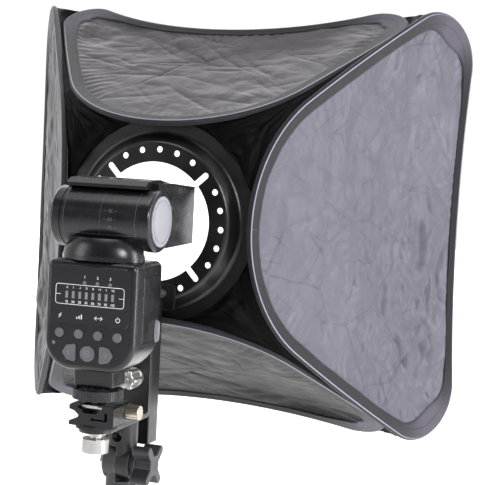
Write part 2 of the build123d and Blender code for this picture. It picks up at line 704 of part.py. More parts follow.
with BuildPart() as door_latch:
    with BuildSketch(across(BODY_W / 2 - DOOR_T - 1, LATCH_Y, LATCH_Z)):
        SlotOverall(6, 2.8, rotation=90)
    extrude(amount=DOOR_T + 2)
    with BuildSketch(across(BODY_W / 2 + GAP, LATCH_Y, LATCH_Z)):
        Ellipse(3.2, 8.5)
    with BuildSketch(across(BODY_W / 2 + 2.6, LATCH_Y, LATCH_Z)):
        Ellipse(2.2, 7.2)
    loft()
save(door_latch, "door_latch")

with BuildPart() as batteries:
    for y in (-46.6, -31.8):
        for z in (170.0, 185.0):
            with BuildSketch(across(-22, y, z)):
                Circle(7.2)
            extrude(amount=49)
            with BuildSketch(across(27, y, z)):
                Circle(2.7)
            extrude(amount=1.4)
save(batteries, "batteries")

with BuildPart() as circuit_board:
    with BuildSketch(rearward(-61, 0, 182)):
        RectangleRounded(60, 54, 2)
    extrude(amount=1.6)
save(circuit_board, "circuit_board")

with BuildPart() as control_panel:
    with BuildSketch(rearward(BODY_REAR, 0, 190.8)):
        RectangleRounded(62, 42.3, 5)
        with Locations(*[(x, LED_Z - 190.8) for x in LED_X]):
            Circle(1.5, mode=Mode.SUBTRACT)
    extrude(amount=0.8)
    chamfer(control_panel.faces().sort_by(Axis.Y)[0].edges().filter_by(GeomType.LINE), 0.3)
save(control_panel, "control_panel")

with BuildPart() as indicator_leds:
    with BuildSketch(rearward(BODY_REAR + WALL)):
        with Locations(*[(x, LED_Z) for x in LED_X]):
            Circle(1.4)
    extrude(amount=WALL + 1.1)
    with BuildSketch(rearward(BODY_REAR + WALL)):
        with Locations(SPOT):
            Circle(1.3)
    extrude(amount=WALL + 0.3)
save(indicator_leds, "indicator_leds")

BUTTON_IN = BODY_REAR + WALL - 0.6
BUTTON_OUT = BODY_REAR - 1.6
for button_name, x in ROUND_X.items():
    with BuildPart() as button:
        with BuildSketch(rearward(BUTTON_IN, x, BUTTON_Z)):
            Circle(BUTTON_R)
        extrude(amount=BUTTON_IN - BUTTON_OUT)
        fillet(button.faces().sort_by(Axis.Y)[0].edges(), 0.7)
    save(button, f"button_{button_name}")

with BuildPart() as button_set:
    with BuildSketch(rearward(BUTTON_IN, 0, PAD_Z)):
        Circle(PAD_R)
    extrude(amount=BUTTON_IN - BUTTON_OUT)
    fillet(button_set.faces().sort_by(Axis.Y)[0].edges(), 0.8)
save(button_set, "button_set")

for arrow_name, side in {"left": -1, "right": 1}.items():
    with BuildPart() as arrow:
        with BuildSketch(rearward(BUTTON_IN, side * ARROW_X, PAD_Z)):
            add(arrow_outline(side))
        extrude(amount=BUTTON_IN - BUTTON_OUT)
        fillet(arrow.faces().sort_by(Axis.Y)[0].edges(), 0.6)
    save(arrow, f"button_{arrow_name}")

# ---------------------------------------------------------------- flash head
COLLAR_Z = BODY_TOP + GAP
with BuildPart() as swivel_collar:
    with BuildSketch(level(COLLAR_Z, 0, FLASH_Y)):
        Ellipse(31, 22)
    extrude(amount=3.4)
    with BuildSketch(level(COLLAR_Z + 3.4, 0, FLASH_Y)):
        Ellipse(30.6, 21.6)
    with BuildSketch(level(COLLAR_Z + 10, 0, FLASH_Y)):
        Ellipse(28.5, 20.4)
    with BuildSketch(level(COLLAR_Z + 16, 0, FLASH_Y)):
        Ellipse(23, 17.5)
    loft()
    with BuildSketch(across(-BODY_W, DRUM_Y, DRUM_Z)):
        Circle(DRUM_R)
    extrude(amount=2 * BODY_W, mode=Mode.SUBTRACT)
    with BuildSketch(across(-BODY_W, DRUM_Y + 25, DRUM_Z)):
        Rectangle(50, 2 * (DRUM_Z - 222.2))
    extrude(amount=2 * BODY_W, mode=Mode.SUBTRACT)
    with BuildSketch(level(COLLAR_Z - 11, 0, FLASH_Y)):
        Circle(PIN_R)
    extrude(amount=12)
    with BuildSketch(level(COLLAR_Z - 11, 0, FLASH_Y)):
        Circle(6)
    extrude(amount=20, mode=Mode.SUBTRACT)
save(swivel_collar, "swivel_collar")

with BuildPart() as neck_drum:
    with BuildSketch(across(-DRUM_X, DRUM_Y, DRUM_Z)):
        Circle(DRUM_R)
    extrude(amount=2 * DRUM_X)
    with BuildSketch(across(-DRUM_X + 2, DRUM_Y, DRUM_Z)):
        Circle(DRUM_R - 2)
        Circle(7, mode=Mode.SUBTRACT)
    extrude(amount=2 * DRUM_X - 4, mode=Mode.SUBTRACT)
    with BuildSketch(across(-DRUM_X, DRUM_Y, DRUM_Z)):
        Circle(4 + FIT)
    extrude(amount=2 * DRUM_X, mode=Mode.SUBTRACT)
    with BuildSketch(level(DRUM_Z - DRUM_R - 1, 0, DRUM_Y - 4)):
        Circle(5)
    extrude(amount=8, mode=Mode.SUBTRACT)
save(neck_drum, "neck_drum")

with BuildPart() as tilt_axle:
    with BuildSketch(across(-HEAD_X + 1.2, DRUM_Y, DRUM_Z)):
        Circle(4)
    extrude(amount=2 * HEAD_X - 2.4)
save(tilt_axle, "tilt_axle")

CHEEK_IN = DRUM_X + GAP
CAP_R = 18.2
HOUSING_X = 36.0
HOUSING_BOTTOM = 224.5
LENS_Z = (228.0, 264.4)
PANEL_SLOT_Z = (265.6, 267.4)
LID_X = 31.0
with BuildPart() as head:
    with BuildSketch(across(-HOUSING_X)):
        with BuildLine():
            Polyline((DRUM_Y + 6, HOUSING_BOTTOM), (HEAD_FRONT, HOUSING_BOTTOM + 1.5), (HEAD_FRONT, 269),
                     (-10, 272), (DRUM_Y, 272), (DRUM_Y, DRUM_Z), (DRUM_Y + 6, HOUSING_BOTTOM))
        make_face()
    extrude(amount=2 * HOUSING_X)
    fillet(head.faces().sort_by(Axis.Y)[-1].edges().filter_by(Axis.Z), 3)
    with BuildSketch(across(-LID_X)):
        with BuildLine():
            Polyline((DRUM_Y - 12, 267.6), (DRUM_Y - 12, 270), (DRUM_Y - 6, 273.5), (DRUM_Y + 14, 274.5),
                     (2, 271), (2, 267.6), (DRUM_Y - 12, 267.6))
        make_face()
    extrude(amount=2 * LID_X)
    with BuildSketch(across(-CHEEK_IN, DRUM_Y, DRUM_Z)):
        Circle(DRUM_R + 0.5)
    extrude(amount=2 * CHEEK_IN, mode=Mode.SUBTRACT)
    for side in (-1, 1):
        with BuildSketch(across(side * CHEEK_IN, DRUM_Y, DRUM_Z)):
            Circle(HEAD_R)
        extrude(amount=side * (HEAD_X - CHEEK_IN))
    rims = head.edges().filter_by(GeomType.CIRCLE).group_by(Axis.X)
    fillet([edge for edge in rims[0] + rims[-1] if edge.radius > HEAD_R - 1], 2.6)
    with BuildSketch(across(-HEAD_X, DRUM_Y, DRUM_Z)):
        Circle(4 + FIT)
    extrude(amount=2 * HEAD_X, mode=Mode.SUBTRACT)
    for side in (-1, 1):
        with BuildSketch(across(side * (HEAD_X - 0.8), DRUM_Y, DRUM_Z)):
            Circle(CAP_R + 0.2)
        extrude(amount=side * 1.0, mode=Mode.SUBTRACT)
    with BuildSketch(rearward(HEAD_FRONT + 1, 0, sum(LENS_Z) / 2)):
        Rectangle(66, LENS_Z[1] - LENS_Z[0])
    extrude(amount=HEAD_FRONT + 1 - (DRUM_Y + DRUM_R + 3), mode=Mode.SUBTRACT)
    with BuildSketch(rearward(HEAD_FRONT + 1, 0, sum(PANEL_SLOT_Z) / 2)):
        Rectangle(59, PANEL_SLOT_Z[1] - PANEL_SLOT_Z[0])
    extrude(amount=45, mode=Mode.SUBTRACT)

with BuildPart() as head_upper:
    add(head.part)
    split(bisect_by=level(DRUM_Z), keep=Keep.TOP)
save(head_upper, "head_upper")

with BuildPart() as head_lower:
    add(head.part)
    split(bisect_by=level(DRUM_Z), keep=Keep.BOTTOM)
save(head_lower, "head_lower")

with BuildPart() as hinge_caps:
    for side in (-1, 1):
        with BuildSketch(across(side * (HEAD_X - 0.7), DRUM_Y, DRUM_Z)):
            Circle(CAP_R)
        extrude(amount=side * 1.5)
        with BuildSketch(across(side * (HEAD_X + 0.8), DRUM_Y, DRUM_Z)):
            Circle(CAP_R - 2.4)
            Circle(CAP_R - 3.2, mode=Mode.SUBTRACT)
        extrude(amount=-side * 0.4, mode=Mode.SUBTRACT)
save(hinge_caps, "hinge_caps")

with BuildPart() as fresnel_lens:
    with BuildSketch(rearward(HEAD_FRONT - 0.4, 0, sum(LENS_Z) / 2)):
        Rectangle(65.6, LENS_Z[1] - LENS_Z[0] - 0.4)
    extrude(amount=1.8)
    with BuildSketch(rearward(HEAD_FRONT - 0.4, 0, sum(LENS_Z) / 2)):
        with GridLocations(1, 3, 1, 11):
            Rectangle(63, 0.9)
    extrude(amount=0.4, mode=Mode.SUBTRACT)
save(fresnel_lens, "fresnel_lens")

with BuildPart() as reflector:
    with BuildSketch(across(-31, 6, 246.2)):
        with BuildLine():
            Polyline((20, 15.6), (20, 17), (-12, 7), (-12, -7), (20, -17), (20, -15.6), (-10.6, -6),
                     (-10.6, 6), (20, 15.6))
        make_face()
    extrude(amount=62)
save(reflector, "reflector")

with BuildPart() as flash_tube:
    with BuildSketch(across(-28, -1, 246.2)):
        Circle(2.4)
    extrude(amount=56)
save(flash_tube, "flash_tube")

with BuildPart() as wide_panel:
    with BuildSketch(rearward(HEAD_FRONT - 0.4, 0, sum(PANEL_SLOT_Z) / 2)):
        Rectangle(58, 1.2)
    extrude(amount=42)
    with BuildSketch(rearward(HEAD_FRONT - 0.4, 0, sum(PANEL_SLOT_Z) / 2)):
        Rectangle(16, 1.6)
    extrude(amount=1.5)
save(wide_panel, "wide_panel")
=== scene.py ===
"""Looks of the small folding softbox rig: its cloth, tapes, printed marks, materials and studio."""
import json
import math
import random

import bpy
import numpy as np
from mathutils import Matrix, Vector, noise


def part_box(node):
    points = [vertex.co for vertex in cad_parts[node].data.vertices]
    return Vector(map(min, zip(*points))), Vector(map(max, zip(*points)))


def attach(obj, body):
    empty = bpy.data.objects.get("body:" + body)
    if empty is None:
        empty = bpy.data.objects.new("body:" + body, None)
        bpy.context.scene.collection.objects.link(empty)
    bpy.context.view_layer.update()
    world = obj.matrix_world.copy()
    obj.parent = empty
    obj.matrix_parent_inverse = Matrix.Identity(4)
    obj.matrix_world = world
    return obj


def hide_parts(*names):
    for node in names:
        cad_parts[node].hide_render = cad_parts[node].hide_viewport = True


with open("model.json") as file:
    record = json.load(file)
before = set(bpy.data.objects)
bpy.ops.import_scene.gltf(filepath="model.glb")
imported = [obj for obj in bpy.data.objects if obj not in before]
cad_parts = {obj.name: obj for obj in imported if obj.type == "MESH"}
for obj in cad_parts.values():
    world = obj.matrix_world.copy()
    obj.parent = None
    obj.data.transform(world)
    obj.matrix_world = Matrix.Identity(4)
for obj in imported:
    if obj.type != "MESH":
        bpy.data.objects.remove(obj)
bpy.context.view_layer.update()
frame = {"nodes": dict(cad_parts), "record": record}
nodes = frame["nodes"]


# ------------------------------------------------------------------ materials
class Paint:
    """A Principled material built up from object-space noise, bumps and edge wear."""

    def __init__(self, name, colour, rough, metal=0.0, **fixed):
        self.mat = bpy.data.materials.new(name)
        self.mat.use_nodes = True
        self.tree = self.mat.node_tree
        self.shader = self.tree.nodes["Principled BSDF"]
        self.shader.inputs["Base Color"].default_value = (*colour, 1)
        self.shader.inputs["Roughness"].default_value = rough
        self.shader.inputs["Metallic"].default_value = metal
        self.shader.inputs["Specular IOR Level"].default_value = 0.5
        for socket, value in fixed.items():
            self.shader.inputs[socket.replace("_", " ")].default_value = value
        self.where = self.node("ShaderNodeTexCoord").outputs["Object"]
        self.colour_out = None
        self.normal_out = None
        self.colour = colour
        self.rough = rough

    def node(self, kind, **settings):
        made = self.tree.nodes.new(kind)
        for key, value in settings.items():
            setattr(made, key, value)
        return made

    def link(self, a, b):
        self.tree.links.new(a, b)

    def noise(self, scale, detail=4.0, stretch=None, distortion=0.0, vector=None):
        tex = self.node("ShaderNodeTexNoise")
        tex.inputs["Scale"].default_value = scale
        tex.inputs["Detail"].default_value = detail
        tex.inputs["Distortion"].default_value = distortion
        source = vector or self.where
        if stretch:
            mapping = self.node("ShaderNodeMapping")
            mapping.inputs["Scale"].default_value = stretch
            self.link(source, mapping.inputs["Vector"])
            source = mapping.outputs["Vector"]
        self.link(source, tex.inputs["Vector"])
        return tex.outputs["Fac"]

    def ramp(self, fac, stops):
        """A colour ramp: stops are (position, grey or colour)."""
        ramp = self.node("ShaderNodeValToRGB")
        self.link(fac, ramp.inputs["Fac"])
        elements = ramp.color_ramp.elements
        while len(elements) < len(stops):
            elements.new(0.5)
        for element, (position, value) in zip(elements, stops):
            element.position = position
            value = (value,) * 3 if isinstance(value, (int, float)) else value
            element.color = (*value, 1)
        return ramp.outputs["Color"]

    def math(self, operation, a, b=0.0):
        made = self.node("ShaderNodeMath", operation=operation)
        for socket, value in zip(made.inputs, (a, b)):
            if isinstance(value, (int, float)):
                socket.default_value = value
            else:
                self.link(value, socket)
        return made.outputs["Value"]

    def mix(self, fac, a, b, blend="MIX"):
        made = self.node("ShaderNodeMix", data_type="RGBA", blend_type=blend)
        for socket, value in zip((made.inputs[0], made.inputs[6], made.inputs[7]), (fac, a, b)):
            if isinstance(value, (int, float)):
                socket.default_value = value
            elif isinstance(value, tuple):
                socket.default_value = (*value, 1)
            else:
                self.link(value, socket)
        return made.outputs[2]

    def mottle(self, scale, amount, low=0.35, high=0.65, stretch=None):
        """Vary the base colour by the given share either way."""
        shade = self.ramp(self.noise(scale, 5, stretch), [(low, 1 - amount), (high, 1 + amount)])
        base = self.colour_out or self.colour
        self.colour_out = self.mix(1.0, base, shade, "MULTIPLY")
        return self

    def tint(self, fac, colour):
        """Lay another colour over the base where fac is 1."""
        self.colour_out = self.mix(fac, self.colour_out or self.colour, colour)
        return self

    def roughen(self, scale, low, high, stretch=None):
        fac = self.ramp(self.noise(scale, 6, stretch), [(0.3, low), (0.7, high)])
        self.link(fac, self.shader.inputs["Roughness"])
        return self

    def bump(self, height, strength, distance):
        made = self.node("ShaderNodeBump")
        made.inputs["Strength"].default_value = strength
        made.inputs["Distance"].default_value = distance
        self.link(height, made.inputs["Height"])
        if self.normal_out:
            self.link(self.normal_out, made.inputs["Normal"])
        self.normal_out = made.outputs["Normal"]
        return self

    def worn_edges(self, colour, radius, reach=0.12):
        """Lighten the convex edges, broken up by noise."""
        bevel = self.node("ShaderNodeBevel", samples=6)
        bevel.inputs["Radius"].default_value = radius
        plain = self.node("ShaderNodeNewGeometry").outputs["Normal"]
        dot = self.node("ShaderNodeVectorMath", operation="DOT_PRODUCT")
        self.link(bevel.outputs["Normal"], dot.inputs[0])
        self.link(plain, dot.inputs[1])
        edge = self.math("SUBTRACT", 1.0, dot.outputs["Value"])
        broken = self.math("MULTIPLY", edge, self.noise(420, 5))
        return self.tint(self.ramp(broken, [(0.012, 0.0), (reach, 1.0)]), colour)

    def let_through(self, share):
        """Thin cloth: pass part of the light falling on its far side."""
        glow = self.node("ShaderNodeBsdfTranslucent")
        glow.inputs["Color"].default_value = (0.97, 0.97, 0.98, 1)
        both = self.node("ShaderNodeMixShader")
        both.inputs["Fac"].default_value = share
        self.link(self.shader.outputs["BSDF"], both.inputs[1])
        self.link(glow.outputs["BSDF"], both.inputs[2])
        self.link(both.outputs["Shader"], self.tree.nodes["Material Output"].inputs["Surface"])
        return self

    def done(self):
        if self.colour_out:
            self.link(self.colour_out, self.shader.inputs["Base Color"])
        if self.normal_out:
            self.link(self.normal_out, self.shader.inputs["Normal"])
        return self.mat


def metal_paint(name, colour, rough, grain=0.25, wear=None, wear_radius=0.0006):
    """Painted or coated metal with a fine orange-peel texture."""
    paint = Paint(name, colour, rough, Specular_IOR_Level=0.5)
    paint.mottle(35, 0.12).roughen(60, rough * 0.8, min(1.0, rough * 1.25))
    if wear:
        paint.worn_edges(wear, wear_radius)
    paint.bump(paint.noise(1500, 3), grain, 0.00025)
    return paint.done()


def plastic(name, colour, rough, grain=0.2, coat=0.0, edge=None):
    """Moulded plastic with a spark-eroded grain."""
    paint = Paint(name, colour, rough, Coat_Weight=coat, Coat_Roughness=0.18)
    paint.mottle(28, 0.07).roughen(90, rough * 0.85, min(1.0, rough * 1.2))
    if edge:
        paint.worn_edges(edge, 0.0005, 0.2)
    paint.bump(paint.noise(1800, 4), grain, 0.00015)
    return paint.done()


def turned_metal(name, colour, rough, stretch, scratches=0.15):
    """Bare metal with fine tool marks drawn out along one direction."""
    paint = Paint(name, colour, rough, metal=1.0)
    paint.mottle(60, 0.08)
    paint.roughen(300, rough * 0.7, min(1.0, rough * 1.5), stretch)
    paint.bump(paint.noise(900, 4, stretch), scratches, 0.0001)
    return paint.done()


def woven(paint, uv, pitch, strength):
    """A plain weave from two crossed sine waves in the cloth's own flat coordinates."""
    split = paint.node("ShaderNodeSeparateXYZ")
    paint.link(uv, split.inputs["Vector"])
    turns = 2 * math.pi / pitch
    warp = paint.math("SINE", paint.math("MULTIPLY", split.outputs["X"], turns))
    weft = paint.math("SINE", paint.math("MULTIPLY", split.outputs["Y"], turns))
    paint.bump(paint.math("MULTIPLY", warp, weft), strength, 0.0001)


WEAVE_PITCH = 0.0009
FOLD_LINES = ((17, 0.016, 0.44), (34, 0.024, 0.50), (75, 0.04, 0.56))  # scale, width, where they begin
DEAD_BLACK = 0.005         # cloth darker than this is matt


def nylon(name, colour, rough, sheen, crease_depth, mottle=0.10, painted_crease_shading=0.45, through=0.0):
    """Thin coated nylon: fine weave, crumple lines with painted shade along them (a painted highlight where
    the factor is above 1), and a soft sheen.
    """
    paint = Paint(name, colour, rough, Sheen_Weight=sheen, Sheen_Roughness=0.45,
                  Specular_IOR_Level=0.05 if colour[0] < DEAD_BLACK else 0.35)
    uv = paint.node("ShaderNodeUVMap", uv_map="flat").outputs["UV"]
    warp = paint.node("ShaderNodeTexNoise")
    warp.inputs["Scale"].default_value = 14
    paint.link(uv, warp.inputs["Vector"])
    bent = paint.node("ShaderNodeVectorMath", operation="MULTIPLY_ADD")
    bent.inputs[1].default_value = (0.02, 0.02, 0)
    paint.link(warp.outputs["Color"], bent.inputs[0])
    paint.link(uv, bent.inputs[2])
    lines = None
    for scale, width, presence in FOLD_LINES:
        cells = paint.node("ShaderNodeTexVoronoi", feature="DISTANCE_TO_EDGE")
        cells.inputs["Scale"].default_value = scale
        paint.link(bent.outputs["Vector"], cells.inputs["Vector"])
        line = paint.ramp(cells.outputs["Distance"], [(0.0, 1.0), (width, 0.0)])
        patch = paint.ramp(paint.noise(scale * 0.6, 3, vector=uv),
                           [(presence, 0.0), (presence + 0.12, 1.0)])
        line = paint.mix(1.0, line, patch, "MULTIPLY")
        lines = line if lines is None else paint.mix(1.0, lines, line, "ADD")
    paint.mottle(9, mottle)
    # Painted shade: the crumple lines are tinted darker than the cloth; where the factor is above 1 they are
    # tinted lighter, a painted highlight.
    shade = tuple(c * painted_crease_shading for c in colour)
    paint.tint(paint.mix(1.0, lines, (0.8, 0.8, 0.8), "MULTIPLY"), shade)
    paint.roughen(40, rough * 0.85, min(1.0, rough * 1.2))
    paint.bump(paint.noise(42, 7, vector=uv, distortion=0.6), 0.6, 0.0030)
    paint.bump(lines, -crease_depth, 0.0014)
    woven(paint, uv, WEAVE_PITCH, 0.12)
    if through:
        paint.let_through(through)
    return paint.done()


RIB_PITCH, ROW_PITCH = 0.0011, 0.0014
FOLD_HIGHLIGHT_AT, FOLD_HIGHLIGHT_HALF = -0.0006, 0.0005       # painted highlight along the tape's fold over the wire: across the tape, from the hoop's line
STITCH_AT, STITCH_HALF, STITCH_PITCH = 0.0072, 0.00035, 0.0032


def webbing(name, colour, rough, thread):
    """Ribbed binding tape: ribs run across it with painted light and shade on them, a painted highlight runs
    along its fold over the wire, a stitch line follows its inner edge.
    """
    paint = Paint(name, colour, rough, Sheen_Weight=0.15, Sheen_Roughness=0.5, Specular_IOR_Level=0.25)
    uv = paint.node("ShaderNodeUVMap", uv_map="flat").outputs["UV"]
    split = paint.node("ShaderNodeSeparateXYZ")
    paint.link(uv, split.inputs["Vector"])
    along, over = split.outputs["X"], split.outputs["Y"]
    slant = paint.math("ADD", along, paint.math("MULTIPLY", over, 0.6))
    rib = paint.math("SINE", paint.math("MULTIPLY", slant, 2 * math.pi / RIB_PITCH))
    row = paint.math("SINE", paint.math("MULTIPLY", over, 2 * math.pi / ROW_PITCH))
    weave = paint.math("MULTIPLY", rib, paint.math("ADD", paint.math("MULTIPLY", row, 0.5), 1.0))
    smooth = paint.node("ShaderNodeAttribute", attribute_name="smooth_cloth").outputs["Fac"]
    ribbed = paint.math("SUBTRACT", 1.0, smooth)
    # Painted light and shade: the ribs' crests are tinted lighter and their troughs darker, in step with the
    # rib bump.
    shade = paint.ramp(paint.math("MULTIPLY", weave, ribbed), [(0.2, 0.45), (0.8, 1.7)])
    paint.mottle(45, 0.1)
    paint.colour_out = paint.mix(1.0, paint.colour_out, shade, "MULTIPLY")
    corner_cloth, fold_highlight_colour = (tuple(min(1.0, c * times) for c in colour) for times in (5.5, 22))
    paint.tint(smooth, corner_cloth)
    # Painted highlight: a light band along the tape's fold over the wire, where the tape is ribbed.
    fold_highlight_band = paint.math("COMPARE", over, FOLD_HIGHLIGHT_AT)
    fold_highlight_band.node.inputs[2].default_value = FOLD_HIGHLIGHT_HALF
    paint.tint(paint.math("MULTIPLY", fold_highlight_band, ribbed), fold_highlight_colour)
    near = paint.math("COMPARE", over, STITCH_AT)
    near.node.inputs[2].default_value = STITCH_HALF
    run = paint.math("SINE", paint.math("MULTIPLY", along, 2 * math.pi / STITCH_PITCH))
    dash = paint.math("GREATER_THAN", run, -0.3)
    stitch = paint.math("MULTIPLY", near, dash)
    paint.tint(stitch, thread)
    paint.bump(paint.math("MULTIPLY", weave, ribbed), 0.5, 0.0003)
    paint.bump(stitch, 0.8, 0.0003)
    paint.bump(paint.noise(160, 5), 0.25, 0.0004)
    return paint.done()


def clear(name, tint, rough):
    """Clear or frosted plastic and glass."""
    paint = Paint(name, tint, rough, Transmission_Weight=0.92, IOR=1.49)
    paint.roughen(50, rough * 0.7, rough * 1.6)
    paint.bump(paint.noise(240, 3), 0.08, 0.0002)
    return paint.done()


MATERIALS = {
    "cast_black": metal_paint("cast_black", (0.006, 0.006, 0.007), 0.42, 0.55, (0.16, 0.16, 0.17)),
    "cast_grey": metal_paint("cast_grey", (0.030, 0.030, 0.034), 0.45, 0.6, (0.3, 0.3, 0.31)),
    "star_plastic": plastic("star_plastic", (0.020, 0.020, 0.022), 0.45, 0.3, edge=(0.4, 0.4, 0.42)),
    "knob_black": plastic("knob_black", (0.008, 0.008, 0.009), 0.45, 0.3),
    "bright_steel": turned_metal("bright_steel", (0.62, 0.61, 0.59), 0.26, (1, 1, 30)),
    "nickel_brass": turned_metal("nickel_brass", (0.56, 0.52, 0.44), 0.36, (20, 1, 1), 0.25),
    "bracket_paint": metal_paint("bracket_paint", (0.008, 0.008, 0.009), 0.36, 0.3, (0.45, 0.44, 0.42)),
    "channel_paint": metal_paint("channel_paint", (0.003, 0.003, 0.0035), 0.34, 0.12, (0.12, 0.12, 0.13),
                                 0.0004),
    "ring_paint": metal_paint("ring_paint", (0.003, 0.003, 0.0035), 0.34, 0.15, (0.05, 0.05, 0.05), 0.0004),
    "knob_silver": turned_metal("knob_silver", (0.8, 0.8, 0.78), 0.32, (1, 24, 1)),
    "spring_steel": turned_metal("spring_steel", (0.35, 0.35, 0.37), 0.35, (12, 12, 1)),
    "body_plastic": plastic("body_plastic", (0.0065, 0.0065, 0.0085), 0.27, 0.12),
    "panel_gloss": plastic("panel_gloss", (0.010, 0.0097, 0.0125), 0.22, 0.05),
    "button_plastic": plastic("button_plastic", (0.10, 0.10, 0.115), 0.45, 0.25, edge=(0.2, 0.2, 0.22)),
    "led_plastic": plastic("led_plastic", (0.13, 0.14, 0.17), 0.2, 0.05, coat=0.5),
    "wheel_plastic": plastic("wheel_plastic", (0.006, 0.006, 0.007), 0.34, 0.2, edge=(0.15, 0.15, 0.16)),
    "shoe_steel": turned_metal("shoe_steel", (0.6, 0.6, 0.6), 0.24, (30, 1, 1)),
    "latch_plastic": plastic("latch_plastic", (0.17, 0.17, 0.19), 0.42, 0.2),
    "cap_plastic": plastic("cap_plastic", (0.27, 0.27, 0.30), 0.42, 0.18),
    "axle_steel": turned_metal("axle_steel", (0.5, 0.5, 0.5), 0.3, (1, 20, 20)),
    "lens_clear": clear("lens_clear", (0.93, 0.94, 0.96), 0.08),
    "wide_clear": clear("wide_clear", (0.95, 0.96, 0.97), 0.05),
    "reflector_metal": turned_metal("reflector_metal", (0.9, 0.9, 0.9), 0.12, (10, 1, 1), 0.1),
    "tube_glass": clear("tube_glass", (0.97, 0.95, 0.88), 0.03),
    "board_green": plastic("board_green", (0.03, 0.14, 0.07), 0.4),
    "cell_wrap": plastic("cell_wrap", (0.32, 0.27, 0.08), 0.3, coat=0.4),
}
slot_of = {row["node"]: row["material_slot"] for row in frame["record"]["subparts"]}
for node_name, thing in nodes.items():
    wanted = MATERIALS.get(slot_of[node_name])
    if wanted:
        thing.data.materials.clear()
        thing.data.materials.append(wanted)

# ------------------------------------------------------------------ hoops and cloth
# A hoop is drawn in metres and degrees: its rear arc (radius, half turn), its flank (radius, turn), its
# front corner's radius and how far its front edge bows inward. It starts a distance from the ring's axis.
HOOP_REAR = 0.003          # from the ring's rear face forward to the hoops' rear points
LEAN = math.radians(31.5)  # the hoops' planes spread outward from the axis by this
SIDE_HOOP = {"start": 0.0795, "rear": (0.120, 56.2), "flank": (2.0, 4.2), "corner": 0.042, "bow": 6.0}
TOP_HOOP = {"start": 0.0775, "rear": (0.116, 61.0), "flank": (2.0, 3.4), "corner": 0.022, "bow": 31.0}
SHEATH_R = 0.0027          # the tape's radius round its wire
SIDES = {"right": (0, SIDE_HOOP), "top": (90, TOP_HOOP), "left": (180, SIDE_HOOP), "bottom": (270, TOP_HOOP)}
BAND, BAND_FRONT_LESS, BAND_CORNER_MORE = 0.0088, 0.0032, 0.0115    # the tape's width inside its wire
CORNER_REACH, BAND_EASE = 0.034, 0.012         # how far along the hoop those widths change
AROUND = 480               # stations round a hoop
RADIAL = 76                # rings of a side's cloth

ring_low, ring_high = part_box("speed_ring")
AXIS_Z = (ring_low.z + ring_high.z) / 2
RING_Y = ring_low.y
SLEEVE_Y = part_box("ring_sleeve")[0].y


class HoopLine:
    """A hoop's centre-line as evenly spaced points (u, v), with inward normals and tape widths."""

    def __init__(self, hoop, count):
        rear_turn, flank_turn, bow = hoop["rear"][1], hoop["flank"][1], hoop["bow"]
        arcs = [hoop["rear"], hoop["flank"], (hoop["corner"], 180 + bow - rear_turn - flank_turn)]
        runs = [(r, -math.radians(a)) for r, a in arcs]
        spot = (0.0, 0.0, math.pi / 2)
        for run in runs:
            spot = self.step(spot, *run)
        bow_r = spot[1] / math.sin(math.radians(bow))
        runs = runs + [(bow_r, 2 * math.radians(bow))] + runs[::-1]
        self.ends = np.cumsum([r * abs(a) for r, a in runs])
        self.length = self.ends[-1]
        self.s = np.arange(count) * self.length / count
        points, normals = [], []
        for left in self.s:
            spot = (0.0, 0.0, math.pi / 2)
            for r, a in runs:
                share = min(1.0, left / (r * abs(a)))
                spot = self.step(spot, r, a * share)
                left -= r * abs(a) * share
                if left <= 1e-9:
                    break
            points.append(spot[:2])
            normals.append((math.sin(spot[2]), -math.cos(spot[2])))
        self.uv = np.array(points)
        self.inward = np.array(normals)
        self.corners = (self.ends[1] + self.ends[2]) / 2, (self.ends[3] + self.ends[4]) / 2
        self.at_corner = sum(bell(self.s, s, CORNER_REACH) for s in self.corners)
        rising = 1 / (1 + np.exp(-(self.s - self.ends[2]) / BAND_EASE))
        falling = 1 / (1 + np.exp((self.s - self.ends[3]) / BAND_EASE))
        self.band = BAND - BAND_FRONT_LESS * rising * falling + BAND_CORNER_MORE * self.at_corner

    @staticmethod
    def step(spot, r, a):
        """Move along an arc of radius r through the turn a."""
        x, y, heading = spot
        side = math.copysign(1.0, a)
        return (x + side * r * (math.sin(heading + a) - math.sin(heading)),
                y - side * r * (math.cos(heading + a) - math.cos(heading)), heading + a)


def bell(x, centre, width):
    return np.exp(-((x - centre) / width) ** 2)


side_line, top_line = HoopLine(SIDE_HOOP, AROUND), HoopLine(TOP_HOOP, AROUND)
LINES = {"right": side_line, "top": top_line, "left": side_line, "bottom": top_line}


def hoop_space(side, uv, w):
    """Points of a hoop's plane (u, v) at height w outside it, in the row frame."""
    turn = math.radians(SIDES[side][0])
    away = np.array([math.cos(turn), 0, math.sin(turn)])
    forward = np.array([0, 1.0, 0])
    run = away * math.sin(LEAN) + forward * math.cos(LEAN)
    over = np.array([-math.sin(turn), 0, math.cos(turn)])
    out = np.cross(run, over)
    start = np.array([0, RING_Y + HOOP_REAR, AXIS_Z]) + away * SIDES[side][1]["start"]
    uv, w = np.asarray(uv), np.asarray(w)
    return start + uv[:, :1] * run + uv[:, 1:] * over + w[:, None] * out


def mesh_object(name, verts, faces, material, uvs=None, smooth=True):
    mesh = bpy.data.meshes.new(name)
    mesh.from_pydata([tuple(v) for v in verts], [], faces)
    mesh.materials.append(material)
    if uvs is not None:
        layer = mesh.uv_layers.new(name="flat")
        index = np.zeros(len(mesh.loops), np.int32)
        mesh.loops.foreach_get("vertex_index", index)
        layer.data.foreach_set("uv", np.asarray(uvs, np.float32)[index].ravel())
    if smooth:
        mesh.polygons.foreach_set("use_smooth", [True] * len(mesh.polygons))
    mesh.update()
    thing = bpy.data.objects.new(name, mesh)
    bpy.context.scene.collection.objects.link(thing)
    return thing


def wavy(x, y, z):
    """Soft swells either side of 0."""
    return noise.fractal(Vector((x, y, z)), 1.0, 2.0, 3)


